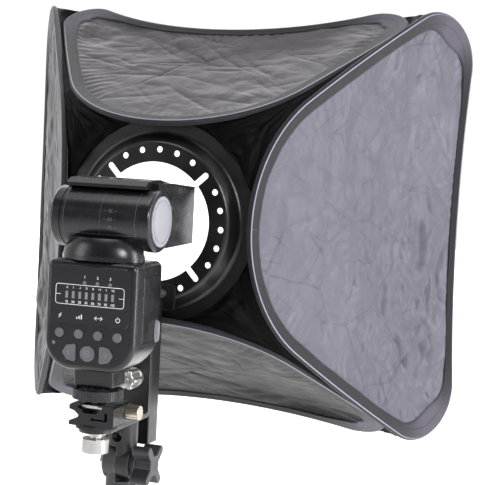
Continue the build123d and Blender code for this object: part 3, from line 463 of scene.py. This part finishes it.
def ridged(x, y, z):
    """Sharp-crested crumples, 0 at the creases and up to 1 between them."""
    return abs(noise.noise(Vector((x, y, z)))) * 2


OUTER_FACE = ((1.0, 0.0006), (0.8, 0.0009), (0.55, 0.0013))        # share of the width, height
INNER_FACE = ((0.55, -0.0012), (0.8, -0.0008), (1.0, -0.0005))
FOLD_ANGLES = (65, 95, 125, 155, 180, 205, 235, 265, 295)           # round the wire
TAPE_WANDER, TAPE_LIFT, TAPE_FLUTTER = 0.0005, 0.0007, 0.0012


def tape_profile(width):
    """The tape's section: (distance inward, height), along its outer face, round the wire and back."""
    outer = [(width * share, w) for share, w in OUTER_FACE]
    fold = [(SHEATH_R * math.cos(a), SHEATH_R * math.sin(a)) for a in map(math.radians, FOLD_ANGLES)]
    inner = [(width * share, w) for share, w in INNER_FACE]
    return outer + fold + inner


def tape(side, material, seed):
    """The binding folded over a hoop's wire, wider and plain where it turns the front corners."""
    line = LINES[side]
    verts, uvs, smooth_cloth = [], [], []
    for i, s in enumerate(line.s):
        wander = TAPE_WANDER * noise.noise(Vector((s * 40, seed, 0)))
        lift = TAPE_LIFT * noise.noise(Vector((s * 26, seed, 5)))
        flutter = TAPE_FLUTTER * line.at_corner[i] * noise.noise(Vector((s * 30, seed, 9)))
        width = line.band[i] + wander + flutter
        profile = tape_profile(width)
        inward = np.array([line.uv[i] + line.inward[i] * n for n, w in profile])
        height = np.array([w + lift * max(0.0, n / width) for n, w in profile])
        verts.extend(hoop_space(side, inward, height))
        uvs.extend((s, n) for n, w in profile)
        smooth_cloth.extend([min(1.0, line.at_corner[i] * 1.15)] * len(profile))
    k = len(profile)
    faces = []
    for i in range(AROUND):
        j = (i + 1) % AROUND
        for a in range(k):
            b = (a + 1) % k
            faces.append((i * k + a, i * k + b, j * k + b, j * k + a))
    thing = mesh_object(f"edge_tape_{side}", verts, faces, material, uvs)
    attribute = thing.data.attributes.new("smooth_cloth", "FLOAT", "POINT")
    attribute.data.foreach_set("value", np.array(smooth_cloth, np.float32))
    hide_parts(f"binding_{side}")
    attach(thing, "softbox")
    return thing


GATHER_PITCH, GATHER_DEEP = 0.0085, 0.011      # along the seam, and how far in the gathers reach
GATHER_HIGH, WAVE_HIGH, CREASE_HIGH, FINE_HIGH = 0.0011, 0.0030, 0.0034, 0.0011
HELD_BAND = 0.012          # the seam holds the cloth down over this width


def crumple(u, v, s, depth, seed, crush):
    """How far the cloth stands off its hoop's plane at (u, v), a distance depth inside the seam."""
    edge = math.exp(-depth / GATHER_DEEP)
    gather = math.sin(s * 2 * math.pi / GATHER_PITCH + 3 * noise.noise(Vector((s * 30, seed, 1))))
    patchy = max(0.0, 0.35 + noise.noise(Vector((s * 14, seed, 2))))
    height = GATHER_HIGH * gather * edge * patchy * min(1.0, depth / 0.003)
    fade = min(1.0, depth / HELD_BAND)
    front = 1 / (1 + math.exp(-(u - crush[0]) / 0.02))
    lower = 1 / (1 + math.exp(-(crush[1] * v + crush[2]) / 0.03))
    crushed = 0.25 + front * (0.35 + 0.65 * lower)
    wave = wavy(u * 9, v * 7, seed)
    height += WAVE_HIGH * wave * fade
    crease = ridged(u * 22 + 0.4 * wave, v * 15, seed + 3) + 0.5 * ridged(u * 47, v * 31, seed + 8)
    height += CREASE_HIGH * (crease - 0.5) * crushed * fade
    fine = ridged(u * 95 + wave, v * 60, seed + 12)
    height += FINE_HIGH * (fine - 0.4) * crushed * fade
    return height


def creases(seed, count, lie):
    """Random straight fold lines, lying mostly at one angle: two ends, a depth and a width."""
    chance = random.Random(seed)
    found = []
    for _ in range(count):
        u = chance.uniform(0.03, 0.19)
        v = chance.uniform(-0.15, 0.15)
        angle = chance.gauss(lie, 0.45)
        half = chance.uniform(0.012, 0.045)
        d = (half * math.cos(angle), half * math.sin(angle))
        found.append((u - d[0], v - d[1], u + d[0], v + d[1],
                      chance.uniform(0.0005, 0.0012), chance.uniform(0.0013, 0.0026)))
    return found


def crease_height(u, v, found):
    """How far the fold lines sink the cloth at (u, v)."""
    total = np.zeros_like(u)
    for u0, v0, u1, v1, depth, width in found:
        du, dv = u1 - u0, v1 - v0
        share = np.clip(((u - u0) * du + (v - v0) * dv) / (du * du + dv * dv), 0, 1)
        away = np.hypot(u - u0 - share * du, v - v0 - share * dv)
        total -= depth * np.exp(-away / width) * (1 - (2 * share - 1) ** 2 * 0.7)
    return total


CLOTH_HEART = 0.112        # a side's cloth is laid out in rings about this distance from its hoop's rear
SEAM_UNDER = 0.0012        # the cloth runs this far under its tape
SAG = 0.0035
FOLDS = 46
FOLD_LIE = {"right": 0.5, "top": 1.2, "left": 1.2, "bottom": 1.2}     # radians, in the hoop's plane


def cloth_panel(side, material, seed, crush):
    """One side's cloth, stretched inside its hoop and crumpled."""
    centre = np.array([CLOTH_HEART, 0.0])
    line = LINES[side]
    rim = line.uv + line.inward * (line.band - SEAM_UNDER)[:, None]
    inner = rim - centre
    verts_uv, depth, ring_s = [centre], [0.1], [0.0]
    reach = np.hypot(*inner.T)
    for ring in range(1, RADIAL + 1):
        share = (ring / RADIAL) ** 0.85
        for i in range(AROUND):
            verts_uv.append(centre + inner[i] * share)
            depth.append(reach[i] * (1 - share))
            ring_s.append(line.s[i])
    verts_uv = np.array(verts_uv)
    w = np.array([crumple(u, v, s, d, seed, crush)
                  for (u, v), s, d in zip(verts_uv, ring_s, depth)])
    found = creases(seed, FOLDS, FOLD_LIE[side])
    held = np.clip(np.array(depth) / 0.01, 0, 1)
    w += crease_height(verts_uv[:, 0], verts_uv[:, 1], found) * held
    w -= SAG * np.clip(np.array(depth) / 0.08, 0, 1) ** 0.7
    faces = [(0, 1 + i, 1 + (i + 1) % AROUND) for i in range(AROUND)]
    for ring in range(RADIAL - 1):
        base = 1 + ring * AROUND
        for i in range(AROUND):
            j = (i + 1) % AROUND
            faces.append((base + i, base + AROUND + i, base + AROUND + j, base + j))
    return mesh_object(f"side_cloth_{side}", hoop_space(side, verts_uv, w), faces, material, verts_uv)


# One black nylon in four lit and shaded copies: each side's base colour, sheen and roughness are set by how
# much light falls on that side, painted light and shade.
CLOTH = {
    "right": nylon("cloth_right", (0.088, 0.083, 0.113), 0.40, 0.3, 0.8),
    "top": nylon("cloth_top", (0.046, 0.041, 0.049), 0.42, 0.18, 0.7),
    "left": nylon("cloth_left", (0.036, 0.034, 0.039), 0.46, 0.15, 0.6),
    "bottom": nylon("cloth_bottom", (0.009, 0.008, 0.0087), 0.5, 0.05, 0.6),
}
tape_material = webbing("binding_tape", (0.013, 0.012, 0.016), 0.6, (0.004, 0.004, 0.005))
# where the crumples are strongest: ahead of u, and where slope * v + shift is positive
CRUSH = {"right": (0.135, -1.0, 0.0), "top": (0.16, 1.0, 0.05), "left": (0.15, 1.0, 0.0),
         "bottom": (0.15, -1.0, 0.0)}
for number, side in enumerate(SIDES):
    hem = tape(side, tape_material, 3.7 * number)
    cloth = cloth_panel(side, CLOTH[side], 11.3 * number + 2, CRUSH[side])
    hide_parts(f"panel_{side}")
    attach(cloth, "softbox")

# ------------------------------------------------------------------ corner gussets
# Painted highlight: the gusset's crumple lines are tinted lighter than its black cloth.
gusset_material = nylon("cloth_gusset", (0.002, 0.002, 0.0024), 0.5, 0.0, 0.5, painted_crease_shading=1.6)
ON_RING_R = 0.0812         # where the gussets meet the ring's flange
RING_TO_HOOPS = 0.085      # the run over which a gusset leaves the ring for its hoops
SHORT_OF_CORNER = 0.024
GUSSET_BULGE, GUSSET_FOLD = 0.0035, 0.0045
GUSSET_ROWS, GUSSET_COLUMNS = 70, 26


def rim_point(side, line, s):
    """Where the gusset is sewn to a hoop's tape, a distance s round the hoop."""
    at = s / line.length * AROUND
    i, share = int(at) % AROUND, at - int(at)
    j = (i + 1) % AROUND
    uv = line.uv[i] * (1 - share) + line.uv[j] * share - line.inward[i] * 0.0018
    return hoop_space(side, uv[None, :], np.array([-0.0005]))[0]


def gusset(number, corner):
    """Black cloth between two neighbouring hoops, from under the ring's flange to the corner."""
    names = list(SIDES)
    first, second = names[number], names[(number + 1) % 4]
    one, two = LINES[first], LINES[second]
    half = min(one.ends[2], two.ends[2]) - SHORT_OF_CORNER
    rows, columns = GUSSET_ROWS, GUSSET_COLUMNS
    diagonal = np.array([math.cos(math.radians(corner)), 0, math.sin(math.radians(corner))])
    verts, uvs = [], []
    for r in range(rows + 1):
        s = half * (r / rows) ** 1.15
        a = rim_point(first, one, s)
        b = rim_point(second, two, two.length - s)
        for c in range(columns + 1):
            q = c / columns
            chord = a * (1 - q) + b * q
            turn = math.radians(corner - 45 + 90 * (0.03 + 0.94 * q))
            on_ring = np.array([ON_RING_R * math.cos(turn), SLEEVE_Y + 0.0002,
                                AXIS_Z + ON_RING_R * math.sin(turn)])
            blend = min(1.0, s / RING_TO_HOOPS)
            blend = blend * blend * (3 - 2 * blend)
            width = float(np.linalg.norm(a - b))
            point = on_ring * (1 - blend) + chord * blend
            middle = 4 * q * (1 - q)
            point = point + diagonal * (GUSSET_BULGE * middle * blend * (1 - r / rows))
            fold = ridged(q * 5, s * 22, corner) + 0.6 * ridged(q * 11, s * 60, corner + 4)
            lift = min(1.0, width / 0.03) * middle * min(1.0, r / 3)
            point = point + np.array([0, -1, 0]) * (GUSSET_FOLD * (fold - 0.45) * lift)
            verts.append(point)
            uvs.append((s, (q - 0.5) * width))
    faces = []
    k = columns + 1
    for r in range(rows):
        for c in range(columns):
            faces.append((r * k + c, r * k + c + 1, (r + 1) * k + c + 1, (r + 1) * k + c))
    return mesh_object(f"corner_cloth_{number + 1}", verts, faces, gusset_material, uvs)


for number, corner in enumerate((45, 135, 225, 315)):
    cloth = gusset(number, corner)
    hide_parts("corner_gussets")
    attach(cloth, "softbox")


COLLAR_INNER_R, COLLAR_OUTER_R, COLLAR_PUCKER = 0.0723, 0.0825, 0.0005


def ring_collar(inner_r, outer_r, around=240, bands=6):
    """The cloth collar clamped against the ring's flange, puckered towards its outer edge."""
    verts, uvs, faces = [], [], []
    k = bands + 1
    for i in range(around):
        turn = 2 * math.pi * i / around
        for band in range(k):
            share = band / bands
            r = inner_r + (outer_r - inner_r) * share
            pucker = COLLAR_PUCKER * math.sin(turn * 40 + 2 * math.sin(turn * 7)) * share
            verts.append((r * math.cos(turn), SLEEVE_Y + 0.0006 + pucker, AXIS_Z + r * math.sin(turn)))
            uvs.append((turn * r, r))
    for i in range(around):
        j = (i + 1) % around
        for band in range(bands):
            faces.append((i * k + band, i * k + band + 1, j * k + band + 1, j * k + band))
    return mesh_object("ring_collar_cloth", verts, faces, gusset_material, uvs)


collar_cloth = ring_collar(COLLAR_INNER_R, COLLAR_OUTER_R)
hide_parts("ring_sleeve")
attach(collar_cloth, "softbox")

# ------------------------------------------------------------------ front diffuser
# Painted shade: the diffuser's crumple lines are tinted a little darker than the white cloth.
white_cloth = nylon("cloth_white", (0.72, 0.72, 0.73), 0.6, 0.2, 0.25, mottle=0.015, painted_crease_shading=0.94,
                    through=0.75)
border_material = webbing("border_tape", (0.42, 0.42, 0.43), 0.6, (0.7, 0.7, 0.7))
FRONT_AROUND = 640         # stations round the front's rim
FRONT_RINGS = 60
FRONT_INSET, FRONT_BELOW = 0.0042, 0.0030      # the rim lies inside the hoops' front edges and under them
CORNER_CLEAR = 0.006
TAPE_INNER, TAPE_BANDS = 0.905, 8              # the border begins at this share of the way to the rim
TAPE_WIDE, TAPE_AHEAD, TAPE_THICK = 0.018, 0.0011, 0.0006
FRONT_SWELL, FRONT_CRUMPLE, FRONT_PULL = 0.0014, 0.0007, 0.0009


def front_rim():
    """The front's rim through the four hoops' front edges: evenly spaced points and their stations."""
    rim = []
    for side in SIDES:
        line = LINES[side]
        front = [i for i, s in enumerate(line.s)
                 if line.corners[0] + CORNER_CLEAR <= s <= line.corners[1] - CORNER_CLEAR]
        inset = line.uv[front] + line.inward[front] * FRONT_INSET
        rim.extend(hoop_space(side, inset, np.full(len(front), -FRONT_BELOW))[::-1])
    closed = np.array(rim + rim[:1])
    closed_s = np.concatenate([[0], np.cumsum(np.linalg.norm(np.diff(closed, axis=0), axis=1))])
    stations = np.arange(FRONT_AROUND) * closed_s[-1] / FRONT_AROUND
    rim = np.stack([np.interp(stations, closed_s, closed[:, k]) for k in range(3)], axis=1)
    for _ in range(3):
        rim = (np.roll(rim, 1, 0) + 2 * rim + np.roll(rim, -1, 0)) / 4
    return rim, stations


rim, stations = front_rim()
heart = np.array([0, rim[:, 1].mean(), AXIS_Z])


def front_sheet(name, shares, forward, material):
    """Cloth over the front, in rings at these shares of the way from its middle to its rim."""
    verts, uvs, faces = [], [], []
    count = FRONT_AROUND
    for share in shares:
        for i in range(count):
            p = heart + (rim[i] - heart) * share
            p[1] = heart[1] + (rim[i][1] - heart[1]) * share ** 2.2
            soft = (FRONT_SWELL * wavy(p[0] * 8, p[2] * 8, 4.0)
                    + FRONT_CRUMPLE * (ridged(p[0] * 26, p[2] * 26, 2) - 0.5))
            pull = FRONT_PULL * math.sin(stations[i] / 0.011 + 3 * math.sin(stations[i] * 12))
            pull *= math.exp(-(1 - share) / 0.05) * (0 if share > 0.999 else 1)
            p[1] += soft * (1 - share ** 6) + pull + forward
            verts.append(p)
            uvs.append((p[0], p[2]))
    for k in range(len(shares) - 1):
        for i in range(count):
            j = (i + 1) % count
            faces.append((k * count + i, (k + 1) * count + i, (k + 1) * count + j, k * count + j))
    if shares[0] < 0.05:
        verts.append(heart + np.array([0, forward, 0]))
        uvs.append((0, AXIS_Z))
        faces.extend((len(verts) - 1, i, (i + 1) % count) for i in range(count))
    return mesh_object(name, verts, faces, material, uvs)


def lay_along(thing, rings):
    """Give the border tape flat coordinates that run along and across it, for its ribs and stitches."""
    along = np.tile(stations, rings)
    over = np.repeat(np.linspace(TAPE_WIDE, 0.0, rings), FRONT_AROUND)
    index = np.zeros(len(thing.data.loops), np.int32)
    thing.data.loops.foreach_get("vertex_index", index)
    flat = np.stack([along, over], 1).astype(np.float32)[index]
    thing.data.uv_layers["flat"].data.foreach_set("uv", flat.ravel())


front_cloth = front_sheet("front_cloth", [0.02 + 0.98 * k / FRONT_RINGS for k in range(FRONT_RINGS + 1)],
                          0.0, white_cloth)
front_tape = front_sheet("front_tape",
                         [TAPE_INNER + (1 - TAPE_INNER) * k / TAPE_BANDS for k in range(TAPE_BANDS + 1)],
                         TAPE_AHEAD, border_material)
lay_along(front_tape, TAPE_BANDS + 1)
front_tape.modifiers.new("thickness", "SOLIDIFY").thickness = TAPE_THICK
for piece, replaced, slot_name in ((front_cloth, "diffuser", "diffuser_cloth"),
                                   (front_tape, "diffuser_border", "border_cloth")):
    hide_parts(replaced)
    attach(piece, "softbox")

# ------------------------------------------------------------------ printed and moulded marks
ink = Paint("white_ink", (0.72, 0.72, 0.74), 0.5).mottle(400, 0.08).done()
bar_ink = Paint("grey_bar", (0.20, 0.20, 0.23), 0.35).mottle(300, 0.1).done()
emboss = plastic("button_marks", (0.22, 0.22, 0.25), 0.5)
moulded = plastic("moulded_marks", (0.075, 0.073, 0.083), 0.4, 0.1)
PRINT = 0.00008            # height of printed marks above their panel
EMBOSS = 0.00004           # and of the keys' marks above their keys
MOULDED = 0.00006          # and of the drum's scale above the drum
PRINT_THICK, EMBOSS_THICK, MOULDED_THICK = 0.00005, 0.00006, 0.00012


class Marks:
    """Flat marks drawn in panel coordinates (millimetres), gathered into one mesh."""

    def __init__(self):
        self.verts, self.faces = [], []

    def add(self, points, faces):
        base = len(self.verts)
        self.verts.extend(points)
        self.faces.extend(tuple(base + i for i in face) for face in faces)

    def stroke(self, points, width, closed=False):
        """A line of even width through the points."""
        pts = [np.array(p, float) for p in points]
        n = len(pts)
        left, right = [], []
        for i, p in enumerate(pts):
            before = pts[i - 1] if closed or i else p
            after = pts[(i + 1) % n] if closed or i < n - 1 else p
            d0, d1 = p - before, after - p
            d0 = d0 / (np.linalg.norm(d0) or 1)
            d1 = d1 / (np.linalg.norm(d1) or 1)
            d = d0 + d1
            d = d / (np.linalg.norm(d) or 1)
            normal = np.array([-d[1], d[0]])
            reach = width / 2 / max(0.5, abs(np.dot(normal, [-d0[1], d0[0]])) if np.any(d0) else 1)
            left.append(p + normal * reach)
            right.append(p - normal * reach)
        faces = []
        for i in range(n if closed else n - 1):
            j = (i + 1) % n
            faces.append((i, j, n + j, n + i))
        self.add(left + right, faces)

    def rounded_box(self, x, z, w, h, r, width):
        points = []
        for cx, cz, start in ((1, 1, 0), (-1, 1, 90), (-1, -1, 180), (1, -1, 270)):
            for step in range(7):
                a = math.radians(start + 15 * step)
                points.append((x + cx * (w / 2 - r) + r * math.cos(a),
                               z + cz * (h / 2 - r) + r * math.sin(a)))
        self.stroke(points, width, True)

    def disc(self, x, z, r):
        points = [(x + r * math.cos(a), z + r * math.sin(a)) for a in np.linspace(0, 2 * math.pi, 25)[:-1]]
        self.add(points, [tuple(range(24))])

    def block(self, x, z, w, h):
        corners = ((-1, -1), (1, -1), (1, 1), (-1, 1))
        self.add([(x + cx * w / 2, z + cz * h / 2) for cx, cz in corners], [(0, 1, 2, 3)])

    def arc(self, x, z, r, a0, a1, width):
        self.stroke([(x + r * math.cos(math.radians(a)), z + r * math.sin(math.radians(a)))
                     for a in np.linspace(a0, a1, 19)], width)

    def number(self, text, x, z, height):
        """Digits and signs in the default face, centred on (x, z)."""
        curve = bpy.data.curves.new("digits", "FONT")
        curve.body = text
        curve.size = height * 1.38
        curve.align_x = "CENTER"
        curve.offset = height * 0.012
        holder = bpy.data.objects.new("digits", curve)
        bpy.context.scene.collection.objects.link(holder)
        bpy.context.view_layer.update()
        mesh = bpy.data.meshes.new_from_object(holder)
        points = [(x + v.co.x, z - height / 2 + v.co.y) for v in mesh.vertices]
        self.add(points, [tuple(p.vertices) for p in mesh.polygons])
        bpy.data.objects.remove(holder)
        bpy.data.meshes.remove(mesh)

    def place(self, name, material, to_space, body, slot_name, thickness):
        """Lay the marks on a surface: to_space takes metres and gives a point in the row frame."""
        verts = [to_space(p[0] / 1000, p[1] / 1000) for p in self.verts]
        thing = mesh_object(name, verts, self.faces, material, smooth=False)
        solid = thing.modifiers.new("thickness", "SOLIDIFY")
        solid.thickness = thickness
        solid.offset = 0
        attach(thing, body)


panel_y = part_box("control_panel")[0].y
drum_low, drum_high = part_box("neck_drum")
DRUM_Y, DRUM_Z = (drum_low.y + drum_high.y) / 2, (drum_low.z + drum_high.z) / 2
DRUM_R = (drum_high.z - drum_low.z) / 2


def on_panel(x, z):
    return (x, panel_y - PRINT, z)


def on_drum(x, z):
    turn = z / DRUM_R
    r = DRUM_R + MOULDED
    return (x, DRUM_Y - r * math.cos(turn), DRUM_Z + r * math.sin(turn))


def on_key(node_name):
    """A function that lays marks on one key, centred on it."""
    low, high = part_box(node_name)
    middle = (low + high) / 2
    return lambda x, z: (middle.x + x, low.y - EMBOSS, middle.z + z)


# places and sizes on the panel, in millimetres from the row frame's origin
PEN, FINE_PEN = 0.42, 0.4
FRAME_Z, BAR_Z, LABEL_Z = 191.1, 190.9, 175.6
LAMP_TEXT_Z, OVER_TEXT_Z, UNDER_TEXT_Z = 204.2, 196.2, 185.9
FRAME_WIDE, FRAME_HIGH, FRAME_R = 53, 14.2, 2.0
BAR_WIDE, BAR_HIGH = 2.1, 5.0
BAR_X = [-17.9 + 5.1 * i for i in range(8)]
LAMP_X = (-4.3, 5.7, 15.5)
PILOT_X, MODE_X, ZOOM_X, POWER_X = -22.5, -7.5, 7.5, 22.5


def printed_row(marks, places, texts, z, height):
    for x, text in zip(places, texts):
        marks.number(text, x, z, height)


def panel_marks():
    """The level frame with its figures, and a generic sign over each of the four round keys."""
    marks = Marks()
    marks.rounded_box(0, FRAME_Z, FRAME_WIDE, FRAME_HIGH, FRAME_R, PEN)
    for side in (-1, 1):
        marks.stroke([(side * 26.4, BAR_Z), (side * 22.6, BAR_Z)], FINE_PEN)
    printed_row(marks, BAR_X, ("-2", "1", "-1", "0", "0", "+1", "1", "+2"), OVER_TEXT_Z, 1.7)
    printed_row(marks, BAR_X, ("18", "24", "28", "35", "50", "70", "85", "105"), UNDER_TEXT_Z, 1.8)
    printed_row(marks, LAMP_X, ("1", "2", "3"), LAMP_TEXT_Z, 2.1)
    flash_bolt = ((1.1, 1.7), (-0.9, 0.1), (0.8, 0.1), (-1.1, -1.7))
    marks.stroke([(PILOT_X + x, LABEL_Z + z) for x, z in flash_bolt], PEN)
    for k in range(3):
        marks.block(MODE_X + 1.8 * (k - 1), LABEL_Z - 0.9 + 0.45 * k, 0.9, 1.4 + 0.9 * k)
    marks.stroke([(ZOOM_X - 2.9, LABEL_Z), (ZOOM_X + 2.9, LABEL_Z)], PEN)
    for side in (-1, 1):
        arrow = ((1.5, 1.3), (3.1, 0), (1.5, -1.3))
        marks.stroke([(ZOOM_X + side * x, LABEL_Z + z) for x, z in arrow], PEN)
    marks.arc(POWER_X, LABEL_Z, 1.55, 125, 415, PEN)
    marks.stroke([(POWER_X, LABEL_Z + 0.3), (POWER_X, LABEL_Z + 2.2)], PEN)
    marks.place("panel_marks", ink, on_panel, "flash", "panel_gloss", PRINT_THICK)


def level_windows():
    bars = Marks()
    for x in BAR_X:
        bars.block(x, BAR_Z, BAR_WIDE, BAR_HIGH)
    bars.place("level_windows", bar_ink, on_panel, "flash", "panel_gloss", PRINT_THICK)


def key_marks():
    """Arrows on the two outer keys, a ring and dot on the middle one."""
    for key, side in (("left", -1), ("right", 1)):
        glyph = Marks()
        glyph.stroke([(-side * 0.9, 1.6), (side * 0.9, 0), (-side * 0.9, -1.6)], FINE_PEN)
        glyph.place(f"button_{key}_mark", emboss, on_key(f"button_{key}"), f"key_{key}", "button_plastic",
                    EMBOSS_THICK)
    glyph = Marks()
    glyph.arc(0, 0, 2.2, 0, 360, 0.35)
    glyph.disc(0, 0, 0.6)
    glyph.place("button_set_mark", emboss, on_key("button_set"), "key_set", "button_plastic", EMBOSS_THICK)


def drum_scale():
    """The drum's moulded outline and angle scale."""
    scale = Marks()
    low, high, half = -11, 24, 28
    outline = [(-half, high)] + [(-half, z) for z in np.linspace(20, low, 12)]
    outline += [(half, z) for z in np.linspace(low, 20, 12)] + [(half, high)]
    scale.stroke(outline, 0.3)
    scale.stroke([(0.8, z) for z in np.linspace(high, low, 14)], 0.22)
    text_x = 8.6
    for z, text in ((6.6, "45"), (0.6, "60"), (-5.4, "75")):
        scale.number(text, text_x, z, 2.6)
        for side in (-1, 1):
            scale.stroke([(text_x + side * 3.2, z), (text_x + side * 4.9, z)], 0.35)
    scale.place("drum_scale", moulded, on_drum, "collar", "body_plastic", MOULDED_THICK)


panel_marks()
level_windows()
key_marks()
drum_scale()

# ------------------------------------------------------------------ studio
FLOOR_Z, FLOOR_HALF = -0.45, 10.0


def floor():
    mesh = bpy.data.meshes.new("floor")
    corners = ((-1, -1), (1, -1), (1, 1), (-1, 1))
    mesh.from_pydata([(x * FLOOR_HALF, y * FLOOR_HALF, FLOOR_Z) for x, y in corners], [], [(0, 1, 2, 3)])
    mesh.materials.append(Paint("floor", (0.97, 0.97, 0.97), 0.8).mottle(3, 0.01).done())
    thing = bpy.data.objects.new("floor", mesh)
    bpy.context.scene.collection.objects.link(thing)


def surroundings():
    """White in front of the box, dim behind it, so that black parts stay black from the rear."""
    world = bpy.data.worlds.new("studio")
    world.use_nodes = True
    made, links = world.node_tree.nodes, world.node_tree.links
    direction = made.new("ShaderNodeTexCoord")
    split = made.new("ShaderNodeSeparateXYZ")
    links.new(direction.outputs["Generated"], split.inputs["Vector"])
    fade = made.new("ShaderNodeMapRange")
    for key, value in (("From Min", -0.45), ("From Max", 0.05), ("To Min", 0.08), ("To Max", 1.03)):
        fade.inputs[key].default_value = value
    links.new(split.outputs["Y"], fade.inputs["Value"])
    links.new(fade.outputs["Result"], made["Background"].inputs["Strength"])
    made["Background"].inputs["Color"].default_value = (1.0, 1.0, 1.0, 1)
    bpy.context.scene.world = world


def area_light(name, place, aim, size, power):
    """A soft light that the camera doesn't see."""
    light = bpy.data.lights.new(name, "AREA")
    light.shape = "RECTANGLE"
    light.size, light.size_y = size
    light.energy = power
    thing = bpy.data.objects.new(name, light)
    thing.location = place
    thing.rotation_euler = (Vector(aim) - Vector(place)).to_track_quat("-Z", "Y").to_euler()
    thing.visible_camera = False
    bpy.context.scene.collection.objects.link(thing)


def camera(lens, azimuth, elevation, roll, place):
    """A camera at a place, looking from an azimuth and elevation, its right side raised by the roll."""
    data = bpy.data.cameras.new("camera")
    data.lens = lens
    data.sensor_width = 36.0
    thing = bpy.data.objects.new("camera", data)
    azimuth, elevation, roll = map(math.radians, (azimuth, elevation, roll))
    back = Vector((math.sin(azimuth) * math.cos(elevation), -math.cos(azimuth) * math.cos(elevation),
                   math.sin(elevation)))
    right = Vector((0, 0, 1)).cross(back).normalized()
    up = back.cross(right)
    turned_right = right * math.cos(roll) + up * math.sin(roll)
    turned_up = up * math.cos(roll) - right * math.sin(roll)
    pose = Matrix((turned_right, turned_up, back)).transposed().to_4x4()
    pose.translation = Vector(place)
    thing.matrix_world = pose
    bpy.context.scene.collection.objects.link(thing)
    bpy.context.scene.camera = thing


floor()
surroundings()
TARGET = (0, 0.03, 0.22)
BOX_FRONT = (0, 0.2, 0.24)
area_light("key", (1.3, -1.2, 0.9), TARGET, (0.45, 0.45), 22)
area_light("fill", (-1.3, -1.1, 0.6), TARGET, (0.7, 1.1), 9)
area_light("top", (-0.2, -0.4, 1.8), TARGET, (0.9, 0.9), 9)
area_light("side", (1.7, 0.1, 0.35), TARGET, (0.35, 1.3), 20)
area_light("front", (0.1, 1.5, 0.45), BOX_FRONT, (1.3, 1.3), 16)
area_light("backdrop", (-2.5, 7.2, 3.0), (-2.5, 7.2, 0), (15.0, 9.0), 1150)
camera(lens=93.6, azimuth=18.53, elevation=4.09, roll=3.0,
       place=(0.395, RING_Y - 0.937, AXIS_Z + 0.060))
bpy.context.scene.view_settings.view_transform = "Standard"
